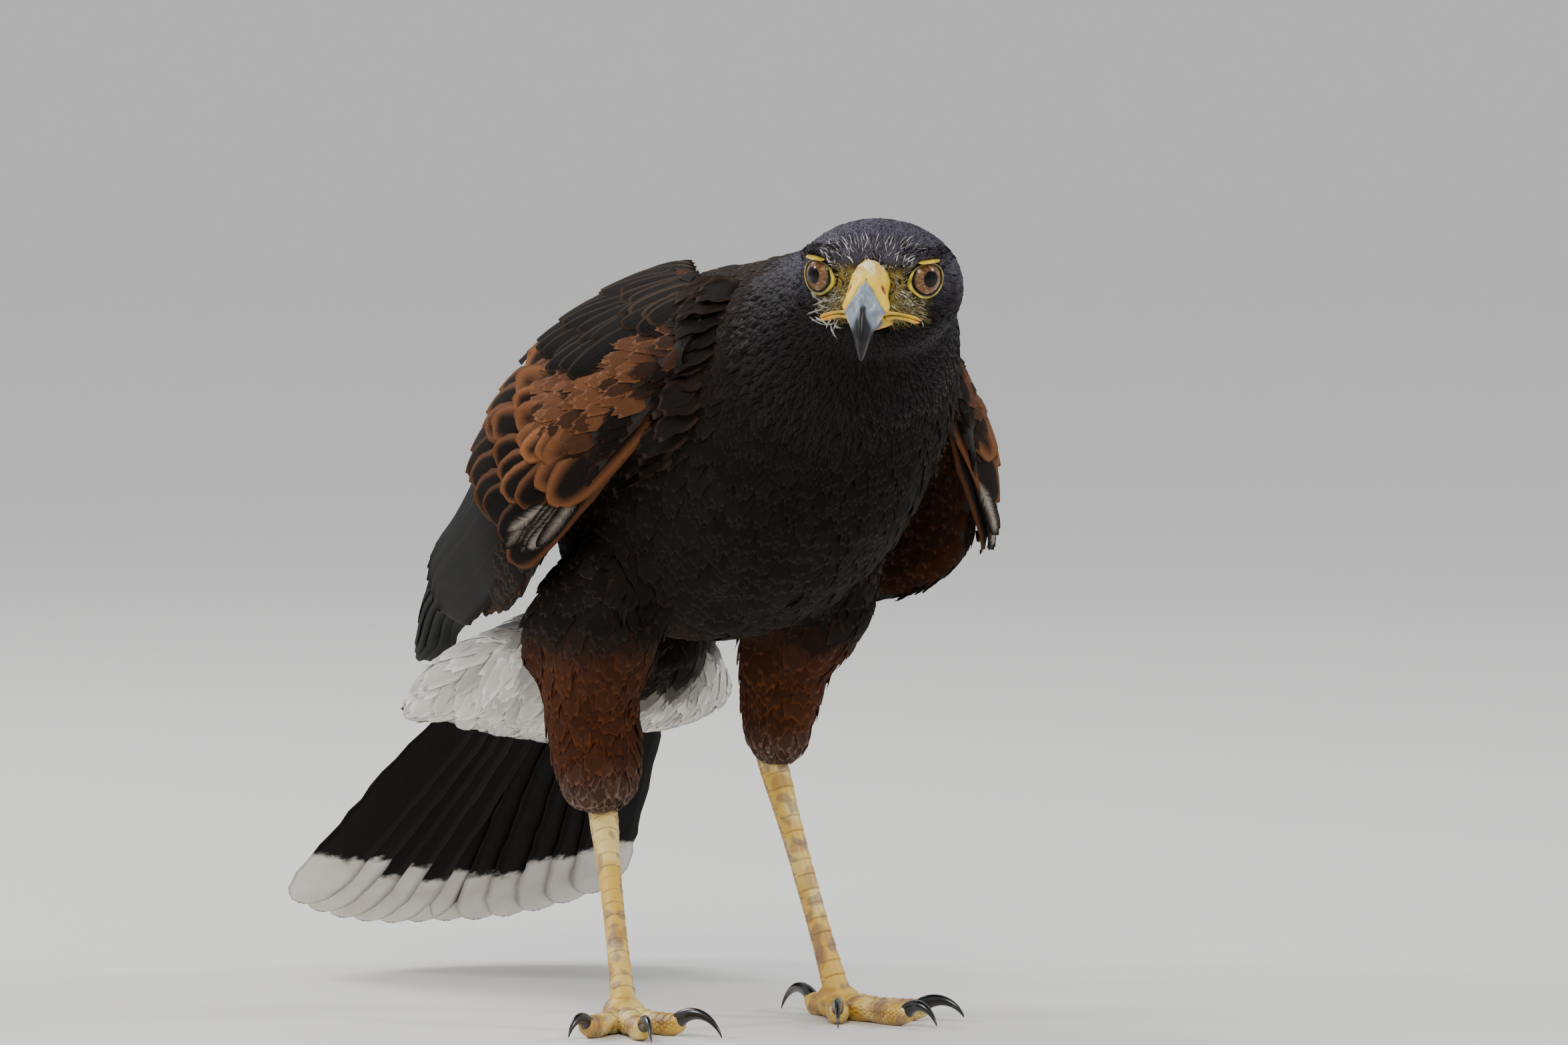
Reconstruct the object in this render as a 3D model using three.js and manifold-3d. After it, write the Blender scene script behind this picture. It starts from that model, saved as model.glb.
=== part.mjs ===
// A Harris's hawk at life size, leaning forward on both feet with its wings drooped,
// its tail spread and its head turned to its own right.
// Millimetres, +Z up. The body faces -Y, so the bird's own left is +X, and the soles are at Z = 0.

import * as THREE from "three";
import { mergeVertices } from "three/addons/utils/BufferGeometryUtils.js";
import Module from "manifold-3d";

const wasm = await Module();
wasm.setup();

// Driving sizes
const GAP = 0.35; // clearance left between pieces that touch
const HEAD_AT = [-4.4, -111, 253.1]; // middle of the skull
const HEAD_TURN = -30.5; // degrees about +Z, towards the bird's right
const HEAD_DIP = 5; // degrees that the bill points below level
const HEAD_TILT = 1.7; // degrees that the left eye lies lower
const EYE_RADIUS = 8.2;
const EYE_AT = [13.9, -12.5, 6.2]; // left eyeball, in the head's own frame
const GAZE = 41; // degrees that each eye looks out from straight ahead
const LID = { opening: 5.6, thick: 1.9 }; // radius of the lids' opening, and of their rim
const TARSUS_RADIUS = 3.7;
const SCUTES = 8; // broad scales down the front of each tarsus
const VANE_THICK = 0.5;
const CAMBER = 0.3; // how far a feather's edges lie below its middle
const ROLL = 1; // how far a feather's one edge is lifted and its other lowered
const SMALL = 0.01;
const TOE_JOINT_Z = 8.5; // height of the joint that the toes spread from

// Each leg's joints, from the hip feathers down to the joint of the toes
const LEGS = {
  right: {
    hip: [-40, 22, 150],
    shin: [-38, 52, 112],
    ankle: [-31, 56, 69],
    toes: [-45, 6, TOE_JOINT_Z],
    turn: -14,
    cuff: 15, // half width of the thigh's feathers just over the ankle
  },
  left: {
    hip: [38, 22, 152],
    shin: [33, 50, 121],
    ankle: [32, 55, 84],
    toes: [41, 22, TOE_JOINT_Z],
    turn: 12,
    cuff: 11.5,
  },
};

// The bird's neck and trunk, from inside the skull to the vent: half widths across, above and below
const TRUNK = [
  { at: [0, -104, 248], side: 28, up: 22, down: 22 },
  { at: [0.5, -90, 240], side: 36, up: 34.5, down: 33 },
  { at: [1, -68, 228], side: 45, up: 43, down: 43 },
  { at: [0, -42, 213], side: 51, up: 54, down: 53 },
  { at: [0, -12, 199], side: 57, up: 64, down: 57 },
  { at: [0, 20, 187], side: 58, up: 65, down: 58 },
  { at: [0, 50, 175], side: 53, up: 53, down: 51 },
  { at: [0, 80, 163], side: 40, up: 33, down: 37 },
  { at: [0, 103, 153], side: 26, up: 20, down: 23 },
  { at: [0, 116, 147], side: 12, up: 9, down: 10 },
];
// Flank feathers that hang over each thigh, on the left side
const FLANK = [
  { at: [46, 4, 158], side: 15, up: 18, down: 18 },
  { at: [52, 34, 144], side: 13, up: 15, down: 15 },
  { at: [55, 56, 130], side: 9, up: 10, down: 10 },
  { at: [56, 66, 118], side: 3, up: 4, down: 4 },
];
const LEFT_FLANK_IN = 9; // how far the left flank is pressed in under its wing
const NECK_CUT_Y = -62; // where the neck ends and the torso begins

// The skull's sections in the head's frame, from the nape to the brow
const SKULL = [
  { at: [0, 37, -1], side: 5, up: 5, down: 5 },
  { at: [0, 31, 0], side: 16, up: 14, down: 15 },
  { at: [0, 17, 1], side: 27, up: 21.5, down: 23 },
  { at: [0, 1, 1], side: 30, up: 23.4, down: 25 },
  { at: [0, -12, 1], side: 25.5, up: 21.8, down: 22.5 },
  { at: [0, -20, 1], side: 17.5, up: 16, down: 17.5 },
  { at: [0, -26, 0], side: 10.5, up: 11, down: 12 },
  { at: [0, -28.5, 0], side: 6, up: 6, down: 7 },
];
const BROW = [
  { at: [9, -24, 11.5], side: 1.6, up: 1.8, down: 1.8 },
  { at: [15, -20, 12.8], side: 2.6, up: 2.6, down: 2.6 },
  { at: [21, -13, 13], side: 2.8, up: 2.6, down: 2.6 },
  { at: [23.5, -4, 11.5], side: 1.6, up: 1.8, down: 1.8 },
];
// Upper half of the bill with its cere, from the brow to the tip of the hook
const BILL = [
  { at: [0, -18, 3.4], side: 7.2, up: 7.6, down: 6.6 },
  { at: [0, -25, 3.9], side: 6.6, up: 8.8, down: 7.2 },
  { at: [0, -31, 2.7], side: 6.5, up: 7.9, down: 6.7 },
  { at: [0, -37, 0], side: 6.6, up: 6.6, down: 5.4 },
  { at: [0, -42.3, -4], side: 5.4, up: 5.6, down: 3.8 },
  { at: [0, -46, -8.9], side: 3.3, up: 4, down: 2.6 },
  { at: [0, -47.8, -13.4], side: 1.9, up: 2.4, down: 1.7 },
  { at: [0, -48.2, -17.4], side: 0.6, up: 0.6, down: 0.6 },
];
const CERE_FRONT_Y = -33.5;
const NOSTRIL = { at: [7.4, -28.6, 4.4], radius: 1.3 };
const LOWER_BILL = [
  { at: [0, -9, -8], side: 10, up: 2.6, down: 3 },
  { at: [0, -20, -7.6], side: 8, up: 3.4, down: 3 },
  { at: [0, -31, -6.8], side: 6, up: 3.4, down: 3 },
  { at: [0, -38, -7], side: 3.6, up: 2, down: 2 },
  { at: [0, -41, -7.4], side: 1.6, up: 1, down: 1 },
];
const GAPE = [
  { at: [6.5, -26, -6.2], side: 1.1, up: 1.1, down: 1.1 },
  { at: [11.5, -21, -6.4], side: 1.3, up: 1.3, down: 1.3 },
  { at: [16, -14.5, -7], side: 1.4, up: 1.4, down: 1.4 },
  { at: [18.5, -8.5, -7.6], side: 0.8, up: 0.8, down: 0.8 },
];

// The wing's outer face, at eight places from the shoulder back to the tip:
// x and z of its lower edge, its middle and its upper edge on the left wing
const WING = [
  { y: -54, low: [47, 226], mid: [48, 232], high: [42, 242] },
  { y: -34, low: [67, 196], mid: [62, 225], high: [34, 254] },
  { y: -10, low: [84, 163], mid: [78, 215], high: [29, 257] },
  { y: 25, low: [82, 143], mid: [84, 211], high: [25, 256] },
  { y: 70, low: [72, 135], mid: [76, 188], high: [22, 238] },
  { y: 120, low: [60, 129], mid: [64, 164], high: [23, 204] },
  { y: 180, low: [44, 120], mid: [49, 141], high: [26, 162] },
  { y: 236, low: [28, 106], mid: [30, 114], high: [28, 122] },
];

// The fleshy arm runs from the shoulder to under the secondaries, sunk below the wing's face
const ARM = { from: -53, to: 84, sunk: 5.2 };

// The tiers of a wing's feathers, from the tip forwards and lowest first. roots and tips give the
// first and the last feather's ends as [y, v], v being the height on the wing's face; lift is how
// far root and tip lie under that face, and a stacked row has each feather on top of the last.
const WING_TIERS = [
  {
    count: 5,
    width: 17,
    roots: [[4, 0.14], [30, 0.3]],
    tips: [[214, 0.14], [186, 0.84]],
    out: 34,
    stack: 1.05,
    lift: [-13.5, -5.2],
    bends: [50, 90, 130, 170, 205],
  },
  {
    count: 8,
    width: 18.5,
    roots: [[10, 0.2], [56, 0.8]],
    tips: [[130, 0.11], [156, 0.94]],
    out: 4,
    rise: 1.4,
    lift: [-6.8, -1],
    bends: [62, 100, 128],
  },
  {
    count: 6,
    width: 26,
    roots: [[-4, 0.15], [42, 0.76]],
    tips: [[58, 0.1], [98, 0.84]],
    lift: [-7, -0.6],
  },
  {
    count: 5,
    width: 30,
    roots: [[-18, 0.15], [22, 0.72]],
    tips: [[30, 0.1], [68, 0.78]],
    lift: [-7, -0.4],
  },
  {
    count: 4,
    width: 31,
    roots: [[-32, 0.2], [0, 0.72]],
    tips: [[6, 0.12], [38, 0.74]],
    lift: [-7, -0.3],
  },
  {
    count: 3,
    width: 23,
    roots: [[-46, 0.45], [-34, 0.84]],
    tips: [[-16, 0.28], [8, 0.7]],
    lift: [-6, -0.2],
  },
];
// The scapulars lie over the wing's upper edge and point at its tip
const SCAPULARS = {
  count: 5,
  width: 24,
  roots: [[-36, 0.94], [44, 1]],
  tips: [[14, 0.75], [106, 0.88]],
  rise: 0.7,
  lift: [-2.5, 1.7],
};

// The tail feathers spread as a fan from a root in the rump
const TAIL_FEATHERS = 12;
const TAIL_STACK = 0.95; // how far each tail feather lies under the next one towards the middle
const TAIL = {
  root: [-4, 104, 150],
  slope: 38.1, // degrees below level
  length: 219,
  rootHalf: 22,
  tipHalf: 70,
  dish: 0.0008, // rise of the outer feathers, for each mm2 of distance from the middle
  rounding: 0.1, // by how much of its length the outer feathers end short of the middle ones
  swing: 1, // how much further to the left its end stands than its root
};

// The white feathers under the tail and over its root
const UNDERTAIL = [
  { at: [0, 92, 126], side: 24, up: 14, down: 16 },
  { at: [0, 116, 119], side: 44, up: 14, down: 23 },
  { at: [0, 138, 107], side: 59, up: 12, down: 20 },
  { at: [0, 157, 96], side: 60, up: 10, down: 13 },
  { at: [0, 170, 88], side: 40, up: 5, down: 5 },
];
// White feathers that stand up beside the tail on the bird's right
const VENT_LOBE = [
  { at: [-18, 104, 130], side: 14, up: 14, down: 12 },
  { at: [-37, 128, 120], side: 17, up: 11, down: 13 },
  { at: [-50, 150, 107], side: 16, up: 10, down: 12 },
  { at: [-57, 169, 97], side: 8, up: 5, down: 7 },
];
const UPPERTAIL = [
  { at: [0, 92, 162], side: 22, up: 10, down: 12 },
  { at: [0, 112, 149], side: 28, up: 8, down: 8 },
  { at: [0, 130, 135], side: 30, up: 4, down: 5 },
  { at: [0, 140, 127], side: 22, up: 1.5, down: 2 },
];
const UNDER_COVERTS = {
  count: 7,
  width: 26,
  near: 44,
  end: 108,
  rootHalf: 36,
  tipHalf: 57,
  lift: [-17, -9],
};
const UPPER_COVERTS = {
  count: 5,
  width: 19,
  near: 20,
  end: 66,
  rootHalf: 16,
  tipHalf: 27,
  lift: [4.5, 3],
};

const TOE_SCUTES = 5; // broad scales along the top of each toe
// A toe's sections, keyed by how far along it they lie
const TOE = [
  { y: 0, z: 6, side: 4.4, up: 3.6, down: 4.4 },
  { y: 0.3, z: 5, side: 4.2, up: 3.4, down: 5.6 },
  { y: 0.5, z: 4.6, side: 3.5, up: 3, down: 4.4 },
  { y: 0.75, z: 4.4, side: 3.8, up: 2.9, down: 5 },
  { y: 1, z: 4.6, side: 3, up: 2.4, down: 3.6 },
];
const TOES = [
  { name: "inner", side: 1, turn: 36, length: 27, claw: 24 },
  { name: "middle", side: 0, turn: 0, length: 41, claw: 20 },
  { name: "outer", side: -1, turn: 33, length: 32, claw: 18 },
  { name: "hind", side: 0, turn: 172, length: 19, claw: 27 },
];

const MATERIALS = {
  plumage: paint(0x241f1f, 0.8),
  rufous: paint(0x6e3418, 0.8),
  white: paint(0xe6e1da, 0.85),
  flight: paint(0x15130f, 0.6),
  horn: paint(0x5b6470, 0.3),
  cere: paint(0xe8c21c, 0.45),
  skin: paint(0xd9a51f, 0.5),
  claw: paint(0x17161a, 0.3),
  eye: paint(0x5a3716, 0.1),
};

function paint(color, roughness) {
  return new THREE.MeshStandardMaterial({ color, roughness, metalness: 0 });
}

// Turns a closed geometry into a solid for cutting and joining.
function solid(geometry) {
  const bare = geometry.clone();
  bare.deleteAttribute("normal");
  bare.deleteAttribute("uv");
  const merged = mergeVertices(bare, 1e-4);
  const made = new wasm.Manifold(
    new wasm.Mesh({
      numProp: 3,
      vertProperties: new Float32Array(merged.attributes.position.array),
      triVerts: new Uint32Array(merged.index.array),
    }),
  );
  if (made.volume() < 0) throw new Error("a piece is inside out");
  return made;
}

function join(solids) {
  return solids.reduce((whole, next) => whole.add(next));
}

// Keeps the largest closed surface, without scraps or sealed hollows.
function largest(made) {
  return made.decompose().reduce((best, next) => (next.volume() > best.volume() ? next : best));
}

function geometryOf(made) {
  const mesh = largest(made).getMesh();
  const geometry = new THREE.BufferGeometry();
  const points = new Float32Array(mesh.numVert * 3);
  for (let i = 0; i < mesh.numVert; i++) {
    const from = i * mesh.numProp;
    points.set(mesh.vertProperties.subarray(from, from + 3), i * 3);
  }
  geometry.setAttribute("position", new THREE.BufferAttribute(points, 3));
  geometry.setIndex(new THREE.BufferAttribute(mesh.triVerts, 1));
  geometry.computeVertexNormals();
  return geometry;
}

// A closed body through oval stations, whose up side is the higher or, on a leg, the front one.
// grow swells it all round, to cut room for a neighbour.
function loft(stations, { sides = 14, steps = 2, grow = 0 } = {}) {
  const curve = (points) => new THREE.CatmullRomCurve3(points, false, "catmullrom");
  const line = curve(stations.map((s) => new THREE.Vector3(...s.at)));
  const sizes = curve(stations.map((s) => new THREE.Vector3(s.side, s.up, s.down)));
  const rings = (stations.length - 1) * steps + 1;
  const forwards = stations[0].at[1] > stations[stations.length - 1].at[1];
  const points = [];
  for (let i = 0; i < rings; i++) {
    const t = i / (rings - 1);
    const centre = line.getPoint(t);
    const size = sizes.getPoint(t);
    const along = line.getTangent(t);
    const across = new THREE.Vector3(1, 0, 0).addScaledVector(along, -along.x).normalize();
    if (forwards) across.negate();
    const above = new THREE.Vector3().crossVectors(across, along);
    for (let k = 0; k < sides; k++) {
      const angle = (2 * Math.PI * k) / sides;
      const rise = Math.sin(angle) > 0 ? size.y : size.z;
      points.push(
        centre
          .clone()
          .addScaledVector(across, Math.cos(angle) * (Math.max(size.x, 0.2) + grow))
          .addScaledVector(above, Math.sin(angle) * (Math.max(rise, 0.2) + grow)),
      );
    }
  }
  const endOut = (t, way) => {
    const out = way * (grow + 0.4 * sizes.getPoint(t).x);
    return line.getPoint(t).addScaledVector(line.getTangent(t), out);
  };
  points.push(endOut(0, -1), endOut(1, 1));
  const faces = [];
  const first = rings * sides;
  for (let k = 0; k < sides; k++) {
    const next = (k + 1) % sides;
    for (let i = 0; i < rings - 1; i++) {
      const a = i * sides + k;
      const b = i * sides + next;
      faces.push(a, a + sides, b, b, a + sides, b + sides);
    }
    const last = (rings - 1) * sides;
    faces.push(first, k, next, first + 1, last + next, last + k);
  }
  return closed(points, faces);
}

function closed(points, faces) {
  const geometry = new THREE.BufferGeometry().setFromPoints(points);
  geometry.setIndex(faces);
  return geometry;
}

// The value at y of rows keyed by y, on a smooth curve through them.
function smooth(rows, y, pick) {
  const last = rows.length - 1;
  const i = Math.min(Math.max(rows.findIndex((r) => r.y > y) - 1, 0), last - 1);
  const k = y >= rows[last].y ? last - 1 : i;
  const slope = (j) => {
    const a = Math.max(j - 1, 0);
    const b = Math.min(j + 1, last);
    return (pick(rows[b]) - pick(rows[a])) / (rows[b].y - rows[a].y);
  };
  const span = rows[k + 1].y - rows[k].y;
  const t = (y - rows[k].y) / span;
  const t2 = t * t;
  const t3 = t2 * t;
  return (
    (2 * t3 - 3 * t2 + 1) * pick(rows[k]) +
    (t3 - 2 * t2 + t) * span * slope(k) +
    (3 * t2 - 2 * t3) * pick(rows[k + 1]) +
    (t3 - t2) * span * slope(k + 1)
  );
}

// A point on the wing's outer face: y along the bird, v from 0 at the lower edge to 1 at the upper,
// and lift outwards from the face. side is 1 for the left wing and -1 for the right.
function wingFace(side) {
  const flat = (y, v) => {
    const low = (1 - v) * (1 - 2 * v);
    const mid = 4 * v * (1 - v);
    const high = v * (2 * v - 1);
    const mix = (n) =>
      low * smooth(WING, y, (r) => r.low[n]) +
      mid * smooth(WING, y, (r) => r.mid[n]) +
      high * smooth(WING, y, (r) => r.high[n]);
    return new THREE.Vector3(mix(0), y, mix(1));
  };
  const step = 0.01;
  return (y, v, lift) => {
    const point = flat(y, v);
    const up = flat(y, v + step).sub(flat(y, v - step));
    const back = flat(y + 1, v).sub(flat(y - 1, v));
    const out = new THREE.Vector3().crossVectors(back, up).normalize();
    point.addScaledVector(out, lift);
    point.x *= side;
    return point;
  };
}

// A plate between an outer and an inner face, each given on a grid of (i, j).
function plate(rows, columns, outer, inner, flip) {
  const points = [];
  for (const face of [outer, inner])
    for (let i = 0; i <= rows; i++)
      for (let j = 0; j <= columns; j++) points.push(face(i / rows, j / columns));
  const wide = columns + 1;
  const half = (rows + 1) * wide;
  const faces = [];
  const quad = (a, b, c, d) => (flip ? faces.push(a, c, b, a, d, c) : faces.push(a, b, c, a, c, d));
  for (let i = 0; i < rows; i++)
    for (let j = 0; j < columns; j++) {
      const a = i * wide + j;
      quad(a, a + wide, a + wide + 1, a + 1);
      const b = a + half;
      if (flip) faces.push(b, b + wide, b + wide + 1, b, b + wide + 1, b + 1);
      else faces.push(b, b + wide + 1, b + wide, b, b + 1, b + wide + 1);
    }
  for (let i = 0; i < rows; i++) {
    const a = i * wide;
    quad(a, a + half, a + half + wide, a + wide);
    const b = a + columns;
    quad(b, b + wide, b + half + wide, b + half);
  }
  for (let j = 0; j < columns; j++) {
    quad(j, j + 1, j + 1 + half, j + half);
    const b = rows * wide + j;
    quad(b, b + half, b + half + 1, b + 1);
  }
  return closed(points, faces);
}

// The fleshy arm of the wing, thin below and thick where it lies on the back. Its face sinks
// under the feathers that start in it.
function wingArm(side) {
  const { smoothstep, clamp } = THREE.MathUtils;
  const face = wingFace(side);
  const y = (s) => ARM.from + (ARM.to - ARM.from) * s;
  const sink = (s, v) => smoothstep(y(s), ARM.from, -14) * (1 - smoothstep(v, 0.8, 0.95));
  const top = (s, v) => -ARM.sunk * sink(s, v);
  const depth = (s, v) => {
    const root = smoothstep(v, 0.45, 0.85);
    const rear = 1 - smoothstep(y(s), 30, ARM.to);
    const rounded = 0.3 + 0.7 * Math.sqrt(Math.sin(Math.PI * clamp(v, 0.02, 0.98)));
    return 3 + (3 + 5 * rear) * rounded + (4 + 12 * rear) * root;
  };
  return plate(
    6,
    6,
    (s, v) => face(y(s), v, top(s, v)),
    (s, v) => face(y(s), v, top(s, v) - depth(s, v)),
    side < 0,
  );
}

// One feather: a thin blade that follows a face from one place to another while it rises from
// under its neighbours. roll lowers one edge and lifts the other, so that a row lies like tiles.
function vane(face, { from, to, lift, width, rise = 1, roll = 0, rows = [0, 0.55, 0.9] }) {
  const lerp = THREE.MathUtils.lerp;
  const breadth = rows.map((t) => (t > 0.88 ? 0.64 : 0.62 + 0.38 * Math.min(t / 0.35, 1)));
  const height = (t) => lerp(lift[0], lift[1], Math.max(t, 0) ** rise);
  const at = (t, up = 0, right = 0, more = 0) =>
    face(lerp(from[0], to[0], t) + up, lerp(from[1], to[1], t) + right, height(t) + more);
  const place = (t, across, wide, more) => {
    const middle = at(t);
    const out = at(t, 0, 0, 1).sub(middle).normalize();
    const along = at(Math.min(t + 0.02, 1)).sub(at(t - 0.02)).normalize();
    const sideways = new THREE.Vector3().crossVectors(along, out).normalize();
    const first = at(t, 1).sub(middle);
    const second = at(t, 0, SMALL).sub(middle).divideScalar(SMALL);
    const [ff, fs, ss] = [first.dot(first), first.dot(second), second.dot(second)];
    const [sf, s2] = [sideways.dot(first), sideways.dot(second)];
    const step = (across * wide) / 2 / (ff * ss - fs * fs);
    const rolled = roll * across - CAMBER * across * across + more;
    return at(t, (sf * ss - s2 * fs) * step, (s2 * ff - sf * fs) * step, rolled);
  };
  const points = [];
  for (const more of [VANE_THICK / 2, -VANE_THICK / 2])
    rows.forEach((t, i) => [-1, 0, 1].forEach((c) => points.push(place(t, c, width * breadth[i], more))));
  points.push(at(1));
  const count = rows.length;
  const half = count * 3;
  const tip = half * 2;
  const faces = [];
  for (let i = 0; i < count - 1; i++)
    for (let j = 0; j < 2; j++) {
      const a = i * 3 + j;
      faces.push(a, a + 1, a + 4, a, a + 4, a + 3);
      const b = a + half;
      faces.push(b, b + 4, b + 1, b, b + 3, b + 4);
    }
  const last = (count - 1) * 3;
  for (let j = 0; j < 2; j++) {
    faces.push(last + j, last + j + 1, tip, last + half + j + 1, last + half + j, tip);
    faces.push(j + 1, j, half + j, j + 1, half + j, half + j + 1);
  }
  for (let i = 0; i < count - 1; i++) {
    const a = i * 3;
    faces.push(a, a + 3, a + half + 3, a, a + half + 3, a + half);
    const b = a + 2;
    faces.push(b, b + half, b + half + 3, b, b + half + 3, b + 3);
  }
  faces.push(last, tip, last + half, last + 2, last + half + 2, tip);
  return closed(points, faces);
}

// A row of vanes between a first and a last one. out pushes the tips in the row's middle on.
function tier(face, row, side) {
  const mix = (pair, t) => pair[0].map((value, n) => THREE.MathUtils.lerp(value, pair[1][n], t));
  return Array.from({ length: row.count }, (_, i) => {
    const t = i / (row.count - 1);
    const from = mix(row.roots, t);
    const to = mix(row.tips, t);
    to[0] += (row.out ?? 0) * Math.sin(Math.PI * t);
    const [start, end] = [row.roots[0][0], row.tips[0][0] + row.out];
    const level = ([y]) => THREE.MathUtils.mapLinear(y, start, end, ...row.lift) + row.stack * i;
    const lift = row.stack ? [level(from), level(to)] : row.lift;
    const roll = row.stack ? 0 : side * -ROLL;
    const bends = row.bends?.map((y) => (y - from[0]) / (to[0] - from[0]));
    const rows = bends && [0, ...bends.filter((s) => s > 0.1 && s < 0.88), 0.94];
    return vane(face, { from, to, lift, width: row.width, rise: row.rise, roll, rows });
  });
}

// A point of the tail fan: across in mm from the middle feather's line, along from the root.
function tailFace() {
  const slope = THREE.MathUtils.degToRad(TAIL.slope);
  const along = new THREE.Vector3(0, Math.cos(slope), -Math.sin(slope));
  const above = new THREE.Vector3(0, Math.sin(slope), Math.cos(slope));
  return (across, far, lift) =>
    new THREE.Vector3(...TAIL.root)
      .addScaledVector(along, far)
      .addScaledVector(above, lift + TAIL.dish * across * across)
      .add(new THREE.Vector3(across + (TAIL.swing * far) / TAIL.length, 0, 0));
}

// Half the tail's width at a distance from the root.
function tailHalf(far) {
  return THREE.MathUtils.lerp(TAIL.rootHalf, TAIL.tipHalf, far / TAIL.length);
}

// A slab of the tail's fan between two distances and two heights.
function tailSlab(near, end, high, low, wider = 0) {
  const face = tailFace();
  const place = (s, c, lift) => {
    const far = near + (end - near) * s;
    return face((tailHalf(far) + wider) * (2 * c - 1), far, lift);
  };
  return plate(2, 6, (s, c) => place(s, c, high), (s, c) => place(s, c, low), true);
}

// The tail feathers, the middle one on top.
function tailFeathers() {
  const face = (far, across, lift) => tailFace()(across, far, lift);
  return Array.from({ length: TAIL_FEATHERS }, (_, i) => {
    const step = i - TAIL_FEATHERS / 2;
    const c = (i + 0.5) / (TAIL_FEATHERS / 2) - 1;
    const end = TAIL.length * (1 - TAIL.rounding * c * c);
    const lift = -TAIL_STACK * (step < 0 ? -step - 0.5 : step) + 0.4;
    const reach = tailHalf(end) - 9.5;
    const outer = TAIL_FEATHERS / 2 / (TAIL_FEATHERS / 2 - 0.5);
    const from = [34, c * outer * (tailHalf(34) - 5)];
    const to = [end, c * outer * reach];
    return vane(face, { from, to, lift: [lift, lift], width: 20, rows: [0, 0.5, 0.95] });
  });
}

// Covert feathers in a row that spreads over the tail's root, every second one a little deeper.
function coverts({ count, near, end, rootHalf: inner, tipHalf: wide, lift, width }) {
  const face = (far, across, h) => tailFace()(across, far, h);
  return Array.from({ length: count }, (_, i) => {
    const c = (2 * i) / (count - 1) - 1;
    const drop = i % 2 ? Math.sign(lift[1]) * 0.9 : 0;
    const to = [end * (1 - 0.1 * c * c), wide * c];
    return vane(face, { from: [near, inner * c], to, lift: lift.map((h) => h + drop), width });
  });
}

// Nodes
const hawk = new THREE.Group();
const head = new THREE.Group();
head.position.set(...HEAD_AT);
head.rotation.set(...[HEAD_DIP, HEAD_TILT, HEAD_TURN].map(THREE.MathUtils.degToRad), "ZXY");
hawk.add(head);
head.updateMatrixWorld(true);

function node(name, geometry, material, group = hawk) {
  const mesh = new THREE.Mesh(geometry, material);
  mesh.name = name;
  group.add(mesh);
  return mesh;
}

const SIDES = { right: -1, left: 1 };

// A mirror image on the bird's right, or the same on its left. inward shifts it towards the middle.
function mirrored(stations, side, inward = 0) {
  return stations.map((s) => ({ ...s, at: [side * (s.at[0] - inward), s.at[1], s.at[2]] }));
}

function eyeball(side, grow) {
  const ball = new THREE.SphereGeometry(EYE_RADIUS + grow, 12, 8);
  return solid(ball.translate(side * EYE_AT[0], EYE_AT[1], EYE_AT[2]));
}

// The rim of an eye's lids, a ring round the line of sight.
function lids(side) {
  const away = Math.sqrt(EYE_RADIUS ** 2 - LID.opening ** 2);
  const gaze = new THREE.Vector3(side, 0, 0).applyAxisAngle(
    new THREE.Vector3(0, 0, side),
    THREE.MathUtils.degToRad(GAZE - 90),
  );
  const ring = new THREE.TorusGeometry(LID.opening + 0.3 * LID.thick, LID.thick, 6, 14);
  ring.applyQuaternion(new THREE.Quaternion().setFromUnitVectors(new THREE.Vector3(0, 0, 1), gaze));
  const middle = new THREE.Vector3(side * EYE_AT[0], EYE_AT[1], EYE_AT[2]);
  middle.addScaledVector(gaze, away);
  return solid(ring.translate(middle.x, middle.y, middle.z));
}

function box(low, high) {
  const size = new THREE.Vector3(...high).sub(new THREE.Vector3(...low));
  const middle = new THREE.Vector3(...high).add(new THREE.Vector3(...low)).multiplyScalar(0.5);
  return solid(new THREE.BoxGeometry(size.x, size.y, size.z).translate(middle.x, middle.y, middle.z));
}

function bill(grow) {
  return solid(loft(BILL, { sides: 10, steps: 1, grow }));
}

// The lower half of the bill with the corners of the mouth, before the upper half is cut out of it.
function lowerBill(grow) {
  const corner = (side) => solid(loft(mirrored(GAPE, side), { sides: 6, steps: 1, grow }));
  return join([solid(loft(LOWER_BILL, { sides: 10, steps: 1, grow })), corner(-1), corner(1)]);
}

function makeHead() {
  const skull = solid(loft(SKULL, { sides: 16, steps: 1 }));
  const brow = (side) => solid(loft(mirrored(BROW, side), { sides: 6, steps: 1 }));
  const flesh = join([skull, brow(-1), brow(1), lids(-1), lids(1)]);
  const room = join([eyeball(-1, GAP), eyeball(1, GAP), bill(GAP), lowerBill(GAP)]);
  node("head", geometryOf(flesh.subtract(room)), MATERIALS.plumage, head);
  for (const [name, side] of Object.entries(SIDES))
    node("eye_" + name, geometryOf(eyeball(side, 0)), MATERIALS.eye, head);
  const nostril = (side) => {
    const hole = new THREE.SphereGeometry(NOSTRIL.radius, 8, 6).scale(1, 1.5, 1);
    return solid(hole.translate(side * NOSTRIL.at[0], NOSTRIL.at[1], NOSTRIL.at[2]));
  };
  const whole = bill(0);
  const front = box([-30, -90, -60], [30, CERE_FRONT_Y - GAP, 40]);
  const rear = box([-30, CERE_FRONT_Y, -60], [30, 40, 40]);
  node("bill_upper", geometryOf(whole.intersect(front)), MATERIALS.horn, head);
  const cere = whole.intersect(rear).subtract(nostril(-1)).subtract(nostril(1));
  node("cere", geometryOf(cere), MATERIALS.cere, head);
  node("bill_lower", geometryOf(lowerBill(0).subtract(bill(GAP))), MATERIALS.horn, head);
}

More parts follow.
